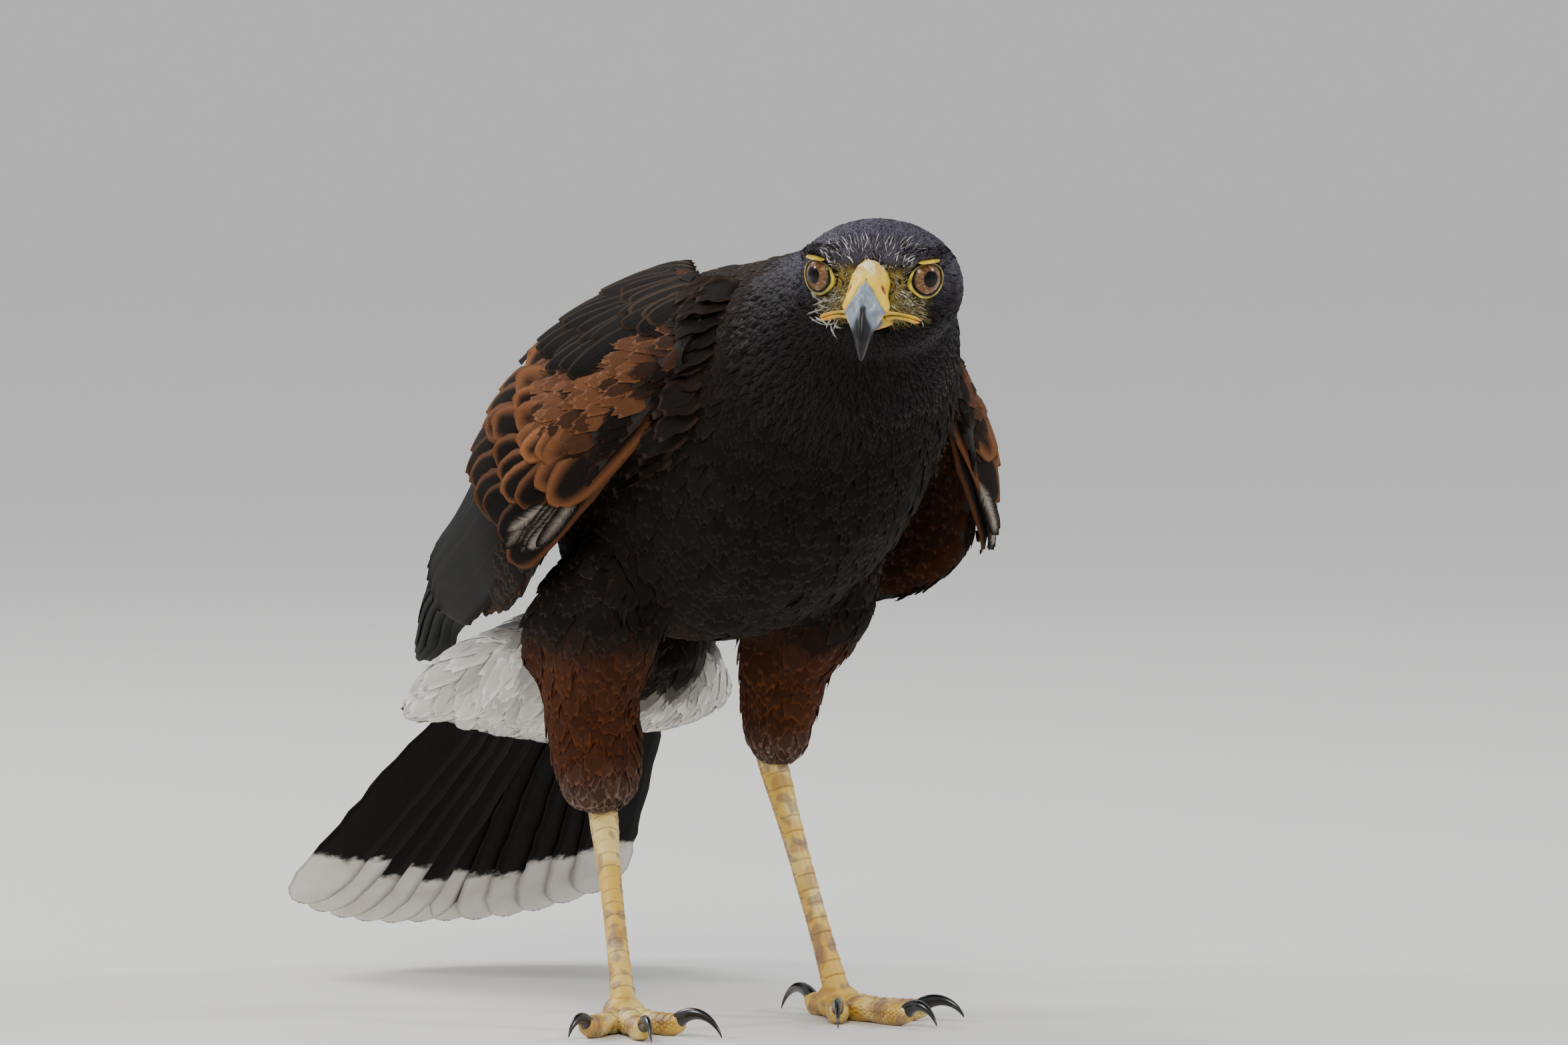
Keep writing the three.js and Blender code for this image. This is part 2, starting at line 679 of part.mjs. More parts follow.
function makeTrunk() {
  const trunk = trunkBody(0);
  const skull = solid(loft(SKULL, { sides: 16, steps: 1, grow: GAP }).applyMatrix4(head.matrixWorld));
  const front = box([-150, -200, 0], [150, NECK_CUT_Y - GAP, 400]);
  const rear = box([-150, NECK_CUT_Y, 0], [150, 200, 400]);
  node("neck", geometryOf(trunk.intersect(front).subtract(skull)), MATERIALS.plumage);
  node("torso", geometryOf(trunk.intersect(rear)), MATERIALS.plumage);
}

function trunkBody(grow) {
  const flank = (side, inward) => solid(loft(mirrored(FLANK, side, inward), { sides: 10, steps: 1, grow }));
  const trunk = solid(loft(TRUNK, { sides: 18, steps: 1, grow }));
  return join([trunk, flank(-1, 0), flank(1, LEFT_FLANK_IN)]);
}

function makeWings() {
  for (const [name, side] of Object.entries(SIDES)) {
    const face = wingFace(side);
    const feathers = [...WING_TIERS, SCAPULARS].flatMap((row) => tier(face, row, side)).map(solid);
    const wing = join([solid(wingArm(side)), ...feathers]).subtract(trunkRoom);
    node("wing_" + name, geometryOf(wing), MATERIALS.rufous);
  }
}

function makeTail() {
  const root = solid(tailSlab(6, 62, 1.4, -6.4));
  const tail = join([root, ...tailFeathers().map(solid)]);
  node("tail", geometryOf(tail.subtract(trunkRoom)), MATERIALS.flight);
  const room = solid(tailSlab(0, TAIL.length + 5, 1.4 + GAP, -6.8 - GAP, 6)).add(trunkRoom);
  const vent = [UNDERTAIL, VENT_LOBE].map((stations) => solid(loft(stations, { sides: 14, steps: 1 })));
  const under = [...vent, ...coverts(UNDER_COVERTS).map(solid)];
  const upper = [solid(loft(UPPERTAIL, { sides: 12, steps: 1 })), ...coverts(UPPER_COVERTS).map(solid)];
  node("undertail_coverts", geometryOf(join(under).subtract(room)), MATERIALS.white);
  node("uppertail_coverts", geometryOf(join(upper).subtract(room)), MATERIALS.white);
}

function thigh(leg, grow = 0) {
  const [hip, shin, ankle] = [leg.hip, leg.shin, leg.ankle];
  const between = (a, b, t) => a.map((v, n) => v + (b[n] - v) * t);
  return loft(
    [
      { at: hip, side: 20, up: 26, down: 26 },
      { at: between(hip, shin, 0.6), side: 19, up: 23, down: 23 },
      { at: shin, side: 18, up: 20, down: 20 },
      { at: between(shin, ankle, 0.5), side: leg.cuff + 2.5, up: 17, down: 18 },
      { at: between(shin, ankle, 0.85), side: leg.cuff, up: 13, down: 15 },
      { at: ankle, side: 6, up: 6, down: 7 },
    ],
    { sides: 12, steps: 1, grow },
  );
}

function makeLegs() {
  for (const [name, leg] of Object.entries(LEGS)) {
    node("thigh_" + name, geometryOf(solid(thigh(leg)).subtract(trunkRoom)), MATERIALS.rufous);
    const start = leg.ankle.map((v, n) => v + (leg.toes[n] - v) * -0.06);
    const along = (t) => start.map((v, n) => v + (leg.toes[n] - v) * t);
    const tarsus = solid(loft(scutes(along), { sides: 8, steps: 1 }));
    const foot = new THREE.Group();
    foot.position.set(leg.toes[0], leg.toes[1], 0);
    foot.rotation.z = THREE.MathUtils.degToRad(leg.turn);
    hawk.add(foot);
    foot.updateMatrixWorld(true);
    const room = join(footBodies(SIDES[name], GAP).map((g) => solid(g.applyMatrix4(foot.matrixWorld))));
    const shank = tarsus.subtract(room).subtract(solid(thigh(leg, GAP)));
    node("tarsus_" + name, geometryOf(shank), MATERIALS.skin);
    makeFoot(name, SIDES[name], foot);
  }
}

// A tarsus's stations, whose front steps in under each of its broad scutes.
function scutes(along) {
  return Array.from({ length: SCUTES * 2 + 1 }, (_, i) => {
    const t = i / (SCUTES * 2);
    const girth = TARSUS_RADIUS * (1 + 0.28 * (2 * t - 1) ** 4);
    return { at: along(t), side: girth, up: girth * (i % 2 ? 1.24 : 1.06), down: girth * 1.1 };
  });
}

const FLOOR = box([-200, -200, -50], [200, 200, 0]);

// Which way a toe points, as a turn about the foot's middle.
function toeTurn(toe, side) {
  const degrees = toe.name === "hind" ? toe.turn : -side * toe.side * toe.turn;
  return new THREE.Matrix4().makeRotationZ(THREE.MathUtils.degToRad(degrees));
}

function toeBody(toe, side, grow) {
  const stations = Array.from({ length: TOE_SCUTES * 2 + 1 }, (_, i) => {
    const t = i / (TOE_SCUTES * 2);
    const size = (key) => smooth(TOE, t, (section) => section[key]);
    const step = i % 2 ? 0.35 : -0.15;
    const at = [0, -t * toe.length, size("z")];
    return { at, side: size("side"), up: size("up") + step, down: size("down") };
  });
  return loft(stations, { sides: 8, steps: 1, grow }).applyMatrix4(toeTurn(toe, side));
}

// The foot's middle and its four toes, before the soles are cut flat.
function footBodies(side, grow) {
  const pad = new THREE.SphereGeometry(6.6 + grow, 10, 6).scale(1.1, 1, 1).translate(0, 0, 6);
  return [pad, ...TOES.map((toe) => toeBody(toe, side, grow))];
}

function makeFoot(name, side, foot) {
  for (const toe of TOES) {
    const body = solid(clawBody(toe).applyMatrix4(toeTurn(toe, side)));
    const claw = body.subtract(solid(toeBody(toe, side, GAP))).subtract(FLOOR);
    node("claw_" + name + "_" + toe.name, geometryOf(claw), MATERIALS.claw, foot);
  }
  const flesh = join(footBodies(side, 0).map(solid)).subtract(FLOOR);
  node("foot_" + name, geometryOf(flesh), MATERIALS.skin, foot);
}

// A claw that rises from the toe's end and curves down to its tip just over the floor.
function clawBody(toe) {
  const rise = THREE.MathUtils.degToRad(38);
  const fall = THREE.MathUtils.degToRad(-62);
  const radius = toe.claw / (rise - fall);
  const count = 4;
  const stations = Array.from({ length: count + 1 }, (_, i) => {
    const t = i / count;
    const angle = rise + (fall - rise) * t;
    const out = radius * (Math.sin(rise) - Math.sin(angle));
    const up = radius * (Math.cos(angle) - Math.cos(rise));
    const width = 2.1 * (1 - t) + 0.25;
    const at = [0, 1.5 - toe.length - out, 5 + up];
    return { at, side: width, up: width * 1.25, down: width * 1.25 };
  });
  return loft(stations, { sides: 6, steps: 1 });
}

const trunkRoom = trunkBody(GAP);
makeHead();
makeTrunk();
makeWings();
makeTail();
makeLegs();

// The origin lies on the floor, under the middle of the bird's overall box.
hawk.updateMatrixWorld(true);
const middle = new THREE.Box3().setFromObject(hawk, true).getCenter(new THREE.Vector3());
hawk.position.set(-middle.x, -middle.y, 0);

export default hawk;
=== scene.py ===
# %% [markdown]
# # A Harris's hawk, feather by feather
#
# This lesson dresses a packed hawk model: a bird of prey as long as a forearm, leaning forward on
# both feet with its wings drooped and its head turned. The solids give the true size and place of
# every part. Everything that the eye sees on them is made here: one skin, some sixteen thousand
# body feathers and bristles, the flight feathers in their tiers, eyes, bill, scales and claws.
#
# The first cell loads the solids, and gives a helper that finds the box of any one of them.

# %% Load the solids
import bpy
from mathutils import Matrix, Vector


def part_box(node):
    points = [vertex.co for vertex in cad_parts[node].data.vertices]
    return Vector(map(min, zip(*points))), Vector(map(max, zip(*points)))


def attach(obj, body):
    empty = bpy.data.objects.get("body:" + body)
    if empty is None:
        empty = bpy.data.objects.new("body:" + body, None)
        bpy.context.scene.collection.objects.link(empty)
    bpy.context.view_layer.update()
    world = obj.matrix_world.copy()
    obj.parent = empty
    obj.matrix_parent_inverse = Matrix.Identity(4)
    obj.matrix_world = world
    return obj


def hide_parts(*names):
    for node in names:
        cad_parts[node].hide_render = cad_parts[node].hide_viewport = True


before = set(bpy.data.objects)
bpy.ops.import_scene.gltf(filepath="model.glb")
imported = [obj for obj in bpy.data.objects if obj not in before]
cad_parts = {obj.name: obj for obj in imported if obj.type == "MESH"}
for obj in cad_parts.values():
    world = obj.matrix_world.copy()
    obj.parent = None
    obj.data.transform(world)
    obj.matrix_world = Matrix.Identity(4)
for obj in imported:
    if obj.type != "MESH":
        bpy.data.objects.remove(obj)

bpy.context.view_layer.update()

import math
from functools import partial

import numpy as np
from mathutils import Euler, Vector, kdtree

# %% [markdown]
# Sizes are written in millimetres in the bird's own frame, as its maker measured it: the bird faces
# -Y and its own left is +X. Blender works in metres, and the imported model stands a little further
# forward. The left eyeball tells by how much, because its middle is known in both frames.
#
# The head has a frame of its own, turned to the bird's right, so that eyes and bill can be written
# as mirror images.

# %% Frames and sizes
MM = 0.001
HEAD_AT = np.array([-4.4, -111.0, 253.1])  # middle of the skull
HEAD_TURN = math.radians(-30.5)  # towards the bird's right
HEAD_DIP = math.radians(5)  # the bill points below level
HEAD_TILT = math.radians(1.7)  # the left eye lies lower
EYE_AT = np.array([13.9, -12.5, 6.2])  # left eyeball, in the head's frame
EYE_RADIUS = 8.2
SIDES = {"right": -1, "left": 1}

turn_z = np.array(Euler((0, 0, HEAD_TURN)).to_matrix())
dip_x = np.array(Euler((HEAD_DIP, 0, 0)).to_matrix())
tilt_y = np.array(Euler((0, HEAD_TILT, 0)).to_matrix())
head_axes = turn_z @ dip_x @ tilt_y


def from_head(points):
    """Points of the head's frame in the bird's frame, in mm."""
    return np.asarray(points, float) @ head_axes.T + HEAD_AT


def to_head(points):
    """Points of the bird's frame in the head's frame, in mm."""
    return (np.asarray(points, float) - HEAD_AT) @ head_axes


eye_low, eye_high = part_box("eye_left")
shift = (np.array(eye_low) + np.array(eye_high)) / 2 - from_head(EYE_AT) * MM


def place(points):
    """Points of the bird's frame, in mm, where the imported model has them, in metres."""
    return np.asarray(points, float) * MM + shift


print("shift in mm:", (shift / MM).round(2))

# %% [markdown]
# The camera stands low before the bird and a little to its right, far away with a long lens, as one
# photographs a bird that mustn't be disturbed. A long lens flattens depth, so the tail looks almost
# as large as the head. The bird's middle lies a little left of the picture's middle.

# %% Camera
AZIMUTH = math.radians(-24)
ELEVATION = math.radians(3)
DISTANCE = 4400.0
LENS = 300
camera_back = np.array(
    [
        math.sin(AZIMUTH) * math.cos(ELEVATION),
        -math.cos(AZIMUTH) * math.cos(ELEVATION),
        math.sin(ELEVATION),
    ]
)
looked_at = np.array([8.985, -5.209, 170.93])

camera_data = bpy.data.cameras.new("camera")
camera_data.lens = LENS
camera_data.sensor_width = 36
camera_data.clip_end = 50
camera = bpy.data.objects.new("camera", camera_data)
bpy.context.scene.collection.objects.link(camera)
camera.location = Vector(place(looked_at + camera_back * DISTANCE))
camera.rotation_euler = Vector(camera_back).to_track_quat("Z", "Y").to_euler()
bpy.context.scene.camera = camera
print("camera at", [round(v, 3) for v in camera.location])

# %% [markdown]
# Colours are picked as sRGB hex values, and one function turns them into the linear numbers that
# Blender mixes. Another adds a node to any tree, with its settings, its constants and its links.

# %% Colours and nodes


def paint(code):
    """A hex colour as linear red, green, blue and alpha."""
    srgb = [int(code[i : i + 2], 16) / 255 for i in (0, 2, 4)]
    return [v / 12.92 if v <= 0.04045 else ((v + 0.055) / 1.055) ** 2.4 for v in srgb] + [1.0]


def feed(tree, node, inputs):
    """Sets a node's inputs, in order or by name: constants, sockets, or nodes' first outputs."""
    for key, value in inputs.items() if isinstance(inputs, dict) else enumerate(inputs):
        if isinstance(value, bpy.types.Node):
            value = value.outputs[0]
        if isinstance(value, bpy.types.NodeSocket):
            tree.links.new(value, node.inputs[key])
        else:
            node.inputs[key].default_value = value


def add(tree, kind, inputs=(), **settings):
    """A new node with its settings and its inputs."""
    made = tree.nodes.new(kind)
    for name, value in settings.items():
        setattr(made, name, value)
    feed(tree, made, inputs)
    return made


def new_material(name):
    """An empty material's tree with its shader, linked to the output."""
    material = bpy.data.materials.new(name)
    material.use_nodes = True
    tree = material.node_tree
    return material, tree, tree.nodes["Principled BSDF"]

# %% [markdown]
# Many pieces here are numpy arrays before they are meshes. These helpers turn arrays into a mesh
# object, hang it on the bird's one body, and say which solid it stands for.

# %% Meshes and pieces


def unit(vectors):
    """Vectors scaled to length one."""
    vectors = np.asarray(vectors, float)
    return vectors / np.maximum(np.linalg.norm(vectors, axis=-1, keepdims=True), 1e-12)


def along_skin(ways, out):
    """Directions turned into the surface whose normals are out."""
    return unit(ways - out * (ways * out).sum(1)[:, None])


def fade(low, high, x):
    """0 below low, 1 above high, and smooth between."""
    t = np.clip((np.asarray(x, float) - low) / (high - low), 0, 1)
    return t * t * (3 - 2 * t)


def build(name, points, faces, material=None):
    """A smooth-shaded mesh object from points in metres and lists of corners."""
    mesh = bpy.data.meshes.new(name)
    mesh.from_pydata(np.asarray(points).tolist(), [], faces)
    mesh.shade_smooth()
    made = bpy.data.objects.new(name, mesh)
    bpy.context.scene.collection.objects.link(made)
    if material:
        mesh.materials.append(material)
    return made


def joined(name, parts, material=None):
    """One mesh object holding the meshes of several, each part given as points and faces."""
    points, faces, start = [], [], 0
    for part_points, part_faces in parts:
        points.append(part_points)
        faces += [tuple(start + i for i in face) for face in part_faces]
        start += len(part_points)
    return build(name, np.vstack(points), faces, material)


def dress(piece, slot, *nodes):
    """Lets a piece ride on the bird and stand for solids. The slot is not used."""
    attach(piece, "root")
    if nodes:
        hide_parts(*nodes)
    print(piece.name, len(piece.data.polygons), "faces")


FIELDS = {1: "value", 3: "vector", 4: "color"}
KINDS = {1: "FLOAT", 3: "FLOAT_VECTOR", 4: "FLOAT_COLOR"}


def attribute(mesh, name, values):
    """Stores one value, vector or colour for each point, for shaders and trees to read."""
    values = np.asarray(values, np.float32)
    width = values.shape[1] if values.ndim > 1 else 1
    layer = mesh.attributes.get(name) or mesh.attributes.new(name, KINDS[width], "POINT")
    layer.data.foreach_set(FIELDS[width], values.ravel())


def values_of(mesh, name, width=1):
    """An attribute's values as an array, one row a point where it is wider than one."""
    values = np.zeros(len(mesh.vertices) * width, np.float32)
    mesh.attributes[name].data.foreach_get(FIELDS[width], values)
    return values.reshape(-1, width) if width > 1 else values


def co_of(mesh, field="co"):
    """A mesh's points as an array, or their normals where the field is "normal"."""
    values = np.zeros(len(mesh.vertices) * 3, np.float32)
    mesh.vertices.foreach_get(field, values)
    return values.reshape(-1, 3)

# %% [markdown]
# Bodies with no flat side, such as a bill, a claw or a toe, are lofts: oval sections strung on a
# smooth line. Each section has its own half width and its own height above and below the line.

# %% Lofts


def curve_through(rows, t):
    """A Catmull-Rom curve through rows, at parameters from 0 to 1."""
    rows = np.asarray(rows, float)
    padded = np.vstack([2 * rows[0] - rows[1], rows, 2 * rows[-1] - rows[-2]])
    at = np.clip(np.asarray(t, float), 0, 1) * (len(rows) - 1)
    i = np.minimum(at.astype(int), len(rows) - 2)
    s = (at - i)[:, None]
    a, b, c, d = (padded[i + k] for k in range(4))
    return 0.5 * (
        2 * b + (c - a) * s + (2 * a - 5 * b + 4 * c - d) * s**2 + (3 * b - a - 3 * c + d) * s**3
    )


def loft(stations, sides=32, rings=60, shape=None):
    """Points and faces of a closed body. A station is x, y, z, half width, rise and fall in mm.

    shape may change a section: it takes t along the body and the angle round it, as arrays, and
    gives a factor for the width and one for the height."""
    t = np.linspace(0, 1, rings)
    track = curve_through(stations, t)
    centre, size = track[:, :3], np.maximum(track[:, 3:], 0.05)
    along = unit(np.gradient(centre, axis=0))
    across = unit(np.array([1.0, 0, 0]) - along * along[:, :1])
    if stations[0][1] > stations[-1][1]:
        across = -across
    above = np.cross(across, along)
    angle = np.linspace(0, 2 * math.pi, sides, endpoint=False)
    wide = np.cos(angle)[None] * size[:, :1]
    high = np.sin(angle)[None] * np.where(np.sin(angle)[None] > 0, size[:, 1:2], size[:, 2:3])
    if shape:
        grow_wide, grow_high = shape(t[:, None], angle[None])
        wide, high = wide * grow_wide, high * grow_high
    body = centre[:, None] + across[:, None] * wide[..., None] + above[:, None] * high[..., None]
    ends = [
        centre[0] - along[0] * 0.4 * size[0, 0],
        centre[-1] + along[-1] * 0.4 * size[-1, 0],
    ]
    points = np.vstack([body.reshape(-1, 3), ends])
    first = rings * sides
    faces = []
    for k in range(sides):
        after = (k + 1) % sides
        for i in range(rings - 1):
            a, b = i * sides + k, i * sides + after
            faces.append((a, a + sides, b + sides, b))
        last = (rings - 1) * sides
        faces.append((first, k, after))
        faces.append((first + 1, last + after, last + k))
    return points, faces


def mirror(stations, side):
    """The same stations on the bird's left, or their mirror image on its right."""
    return [(side * s[0], *s[1:]) for s in stations]


# %% [markdown]
# ## The skin
#
# Under the feathers lies one skin without a seam. It starts as a copy of the flesh solids, wrapped
# in a fine voxel mesh that joins them, then smoothed until no facet is left. At last it is drawn in
# by the depth of the coat, less on the face, where the feathers are short.

# %% Skin
SKIN_NODES = ["head", "neck", "torso", "thigh_right", "thigh_left"]
SKIN_VOXEL = 1.8 * MM
SKIN_SMOOTHING = 26
COAT_ON_FACE, COAT_ON_BODY = 0.7, 2.1  # depth of the coat in mm, and what the body adds to it
UNDERTAIL = [
    (0, 88, 130, 22, 14, 14),
    (0, 116, 119, 41, 13, 20),
    (0, 138, 107, 54, 11, 17),
    (0, 153, 98, 52, 8, 10),
    (0, 163, 92, 36, 4, 4),
]
VENT_LOBE = [
    (-18, 104, 130, 13, 12, 10),
    (-37, 128, 120, 15, 10, 11),
    (-50, 150, 107, 13, 9, 10),
    (-56, 167, 98, 6, 4, 5),
]
UPPERTAIL = [
    (0, 88, 163, 22, 9, 11),
    (0, 112, 148, 27, 6, 8),
    (0, 128, 136, 28, 3, 5),
    (0, 138, 128, 20, 1, 2),
]
BROW = [
    (7, -25, 10.5, 1.6, 2.2, 1.6),
    (13, -22, 12.4, 2.9, 2.8, 2.2),
    (20, -15, 13.2, 3.2, 2.8, 2.4),
    (24, -6, 12.2, 2.4, 2.2, 2.2),
    (25, 3, 10, 1, 1, 1),
]


def finished(piece, steps):
    """Applies modifiers given as (kind, settings) and leaves a plain mesh."""
    for kind, settings in steps:
        modifier = piece.modifiers.new(kind.title(), kind)
        for name, value in settings.items():
            setattr(modifier, name, value)
    seen = piece.evaluated_get(bpy.context.evaluated_depsgraph_get())
    mesh = bpy.data.meshes.new_from_object(seen)
    piece.modifiers.clear()
    piece.data = mesh


flesh = []
for name in SKIN_NODES:
    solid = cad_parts[name].data
    flesh.append((co_of(solid), [tuple(p.vertices) for p in solid.polygons]))
for stations in (UNDERTAIL, VENT_LOBE, UPPERTAIL):
    points, faces = loft(stations)
    flesh.append((place(points), faces))
for side in SIDES.values():
    points, faces = loft(mirror(BROW, side), sides=16, rings=24)
    flesh.append((place(from_head(points)), faces))

skin = joined("skin", flesh)
weld = {"merge_threshold": 1e-5}
wrap = {"mode": "VOXEL", "voxel_size": SKIN_VOXEL, "use_smooth_shade": True}
soften = {"iterations": SKIN_SMOOTHING, "factor": 0.5}
finished(skin, [("WELD", weld), ("REMESH", wrap), ("SMOOTH", soften)])

skin_co = co_of(skin.data)
skin_normals = co_of(skin.data, "normal")
face_reach = np.linalg.norm(to_head((skin_co - shift) / MM) - [0, -22, 0], axis=1)
coat_depth = COAT_ON_FACE + COAT_ON_BODY * fade(14, 75, face_reach)
skin_co = skin_co - skin_normals * (coat_depth * MM)[:, None]

# %% [markdown]
# Round each eye the skin sinks to a shallow bowl, so that the lids stand free. Only the brow stays.

# %% Eye sockets
GAZE = math.radians(41)  # how far each eye looks out from straight ahead
SOCKET_FROM, SOCKET_TO = math.radians(52), math.radians(80)  # where the bowl rises to its edge
SOCKET_REACH = 15  # mm from the eye's middle, beyond which the skin stays
NEAR_EYES = 60  # mm from the head's middle


def gaze_axes(side):
    """The line of sight, the way to the bill and the way up, in the head's frame."""
    sight = np.array([side * math.sin(GAZE), -math.cos(GAZE), 0])
    front = np.array([-side * math.cos(GAZE), -math.sin(GAZE), 0])
    return sight, front, np.array([0, 0, 1.0])


def seen_from_eye(in_head, side):
    """Offsets from an eye's centre, their length, and their angle from the line of sight."""
    offset = in_head - EYE_AT * [side, 1, 1]
    reach = np.linalg.norm(offset, axis=1)
    return offset, reach, np.arccos(np.clip(offset @ gaze_axes(side)[0] / reach, -1, 1))


in_head = to_head((skin_co - shift) / MM)
for side in SIDES.values():
    offset, reach, aside = seen_from_eye(in_head, side)
    bowl = EYE_RADIUS - 0.6 + 2.0 * fade(SOCKET_FROM, SOCKET_TO, aside)
    bowl += 7 * fade(3.5, 6.5, offset[:, 2])
    sunk = (aside < SOCKET_TO) & (reach > bowl) & (reach < SOCKET_REACH)
    in_head[sunk] = (EYE_AT * [side, 1, 1] + offset / reach[:, None] * bowl[:, None])[sunk]
near_eyes = np.linalg.norm(in_head, axis=1) < NEAR_EYES
skin_co[near_eyes] = place(from_head(in_head))[near_eyes]
skin.data.vertices.foreach_set("co", skin_co.astype(np.float32).ravel())
skin.data.update()
attribute(skin.data, "out", skin_normals)
print("skin:", len(skin.data.polygons), "faces")

# %% [markdown]
# ## What a feather is
#
# A contour feather is a quill with two webs, together a blade with a round end. Here it is a thin
# lens: an upper and a lower face that share their rim, so it is closed and has no side wall. The
# same grid serves the small body feathers, which a node tree copies, and the flight feathers, which
# are shaped one by one.

# %% The blade that every feather starts from


def lens_faces(rows, columns):
    """Corners of a closed lens over a grid, and how many points it has. The rim is shared."""
    top = np.arange(rows * columns).reshape(rows, columns)
    bottom = top.copy()
    inner = (rows - 2) * (columns - 2)
    bottom[1:-1, 1:-1] = rows * columns + np.arange(inner).reshape(rows - 2, columns - 2)
    faces = []
    for i in range(rows - 1):
        for j in range(columns - 1):
            a, b, c, d = (i, j), (i, j + 1), (i + 1, j + 1), (i + 1, j)
            faces.append(tuple(int(top[k]) for k in (a, b, c, d)))
            faces.append(tuple(int(bottom[k]) for k in (a, d, c, b)))
    return faces, rows * columns + inner


def lens_rows(rows, columns, crowd=1.5):
    """Where the points of that lens lie: along 0 to 1, across -1 to 1, and face 1, 0 or -1."""
    along = 1 - (1 - np.linspace(0, 1, rows)) ** crowd
    across = np.linspace(-1, 1, columns)
    t, c = (grid.ravel() for grid in np.meshgrid(along, across, indexing="ij"))
    it, ic = (g[1:-1, 1:-1].ravel() for g in np.meshgrid(along, across, indexing="ij"))
    rim = (t == along[0]) | (t == along[-1]) | (np.abs(c) == 1)
    face = np.concatenate([np.where(rim, 0, 1), -np.ones(len(it))])
    return np.concatenate([t, it]), np.concatenate([c, ic]), face


def body_breadth(t):
    """A body feather's half width along its length, as a share of the widest."""
    return (0.5 + 0.5 * fade(0, 0.4, t)) * (1 - 0.25 * fade(0.55, 1, t))


def template(name, rows, columns, notch=0.16, rounding=0.3):
    """A body feather of length and width one, flat, whose points know their place on it.

    Its end is frayed: every other column of the grid falls short by the notch."""
    t, c, face = lens_rows(rows, columns, 1.25)
    column = np.rint((c + 1) / 2 * (columns - 1)).astype(int)
    reach = 1 - rounding * c * c - notch * ((column - columns // 2) % 2)
    points = np.stack([c * body_breadth(t) / 2, t * reach, np.zeros_like(t)], 1)
    made = build(name, points, lens_faces(rows, columns)[0])
    for key, values in (("along", t), ("across", c), ("face", face)):
        attribute(made.data, key, values)
    made.hide_render = True
    made.hide_viewport = True
    print(name, 2 * len(made.data.polygons), "triangles")
    return made


middle_blade = template("blade_middle", 5, 7)
large_blade = template("blade_large", 6, 7)
fine_blade = template("blade_fine", 4, 3, notch=0, rounding=0.45)

# %% [markdown]
# Real feathers are fine combs. The barbs run out from the shaft at a slant and cling together in
# locks, so a web shows fine streaks along them, and its worn edge is paler and ragged. The material
# reads what each point knows about its own feather: its distance to the edge, its place along and
# across in millimetres, a middle colour and an edge colour. It stretches a noise along the barbs,
# and that noise moves the lightness, frays the border between the colours and roughens the surface.

# %% Feather finish
LOCK_MM = 0.5  # width of a lock of barbs
MULTIPLY_ADD = {"operation": "MULTIPLY_ADD"}
SMOOTHSTEP = {"interpolation_type": "SMOOTHSTEP"}


def feather_material(
    name, roughness=0.6, sheen="6f6a74", sheen_weight=0.06, shaft="000000", shaft_mix=0.0,
    contrast=0.9, specular=0.08,
):
    """Keratin webs: dull, streaked along the barbs, with a faint silky sheen where they turn away."""
    material, tree, shader = new_material(name)
    node = partial(add, tree)
    known = {
        key: node("ShaderNodeAttribute", attribute_name=key).outputs
        for key in ("centre", "rim", "edge", "rim_width", "plume")
    }
    across, along, tone = node("ShaderNodeSeparateXYZ", (known["plume"]["Vector"],)).outputs
    out = node("ShaderNodeMath", (across,), operation="ABSOLUTE")
    barb_root = node("ShaderNodeMath", (out, -1.2, along), **MULTIPLY_ADD)
    along_barb = node("ShaderNodeMath", (out, 0.22, 0.0), **MULTIPLY_ADD)
    own = node("ShaderNodeMath", (tone, 40.0, 0.0), **MULTIPLY_ADD)
    barb_place = node("ShaderNodeCombineXYZ", (barb_root, along_barb, own))
    locks = node(
        "ShaderNodeTexNoise",
        {"Vector": barb_place, "Scale": 1 / LOCK_MM, "Detail": 2.0, "Roughness": 0.6},
    )
    wear = node("ShaderNodeMath", (locks, 2.4, -1.2), **MULTIPLY_ADD)
    worn = node("ShaderNodeMath", (known["edge"]["Fac"], wear), operation="ADD")
    share = node("ShaderNodeMath", (worn, known["rim_width"]["Fac"]), operation="DIVIDE")
    at_rim = node("ShaderNodeMapRange", (share, 0.2, 1.5, 1.0, 0.0), **SMOOTHSTEP)
    web = node("ShaderNodeMixRGB", (at_rim, known["centre"]["Color"], known["rim"]["Color"]))
    streaks = node("ShaderNodeMath", (locks, contrast, 1 - contrast / 2), **MULTIPLY_ADD)
    own_light = node("ShaderNodeMath", (tone, 0.5, 0.75), **MULTIPLY_ADD)
    light = node("ShaderNodeMath", (streaks, own_light), operation="MULTIPLY")
    toned = node("ShaderNodeVectorMath", {0: web, "Scale": light}, operation="SCALE")
    quill = node("ShaderNodeMapRange", (out, 0.12, 0.45, 1.0, 0.0), **SMOOTHSTEP)
    on_shaft = node("ShaderNodeMath", (quill, shaft_mix, 0.0), **MULTIPLY_ADD)
    colour = node("ShaderNodeMixRGB", (on_shaft, toned, paint(shaft)))
    height = node("ShaderNodeMath", (quill, 0.5, locks), **MULTIPLY_ADD)
    relief = node("ShaderNodeBump", {"Strength": 0.4, "Distance": 0.0003, "Height": height})
    feed(tree, shader, {
        "Base Color": colour,
        "Normal": relief,
        "Roughness": roughness,
        "Specular IOR Level": specular,
        "Sheen Weight": sheen_weight,
        "Sheen Roughness": 0.4,
        "Sheen Tint": paint(sheen),
    })
    return material


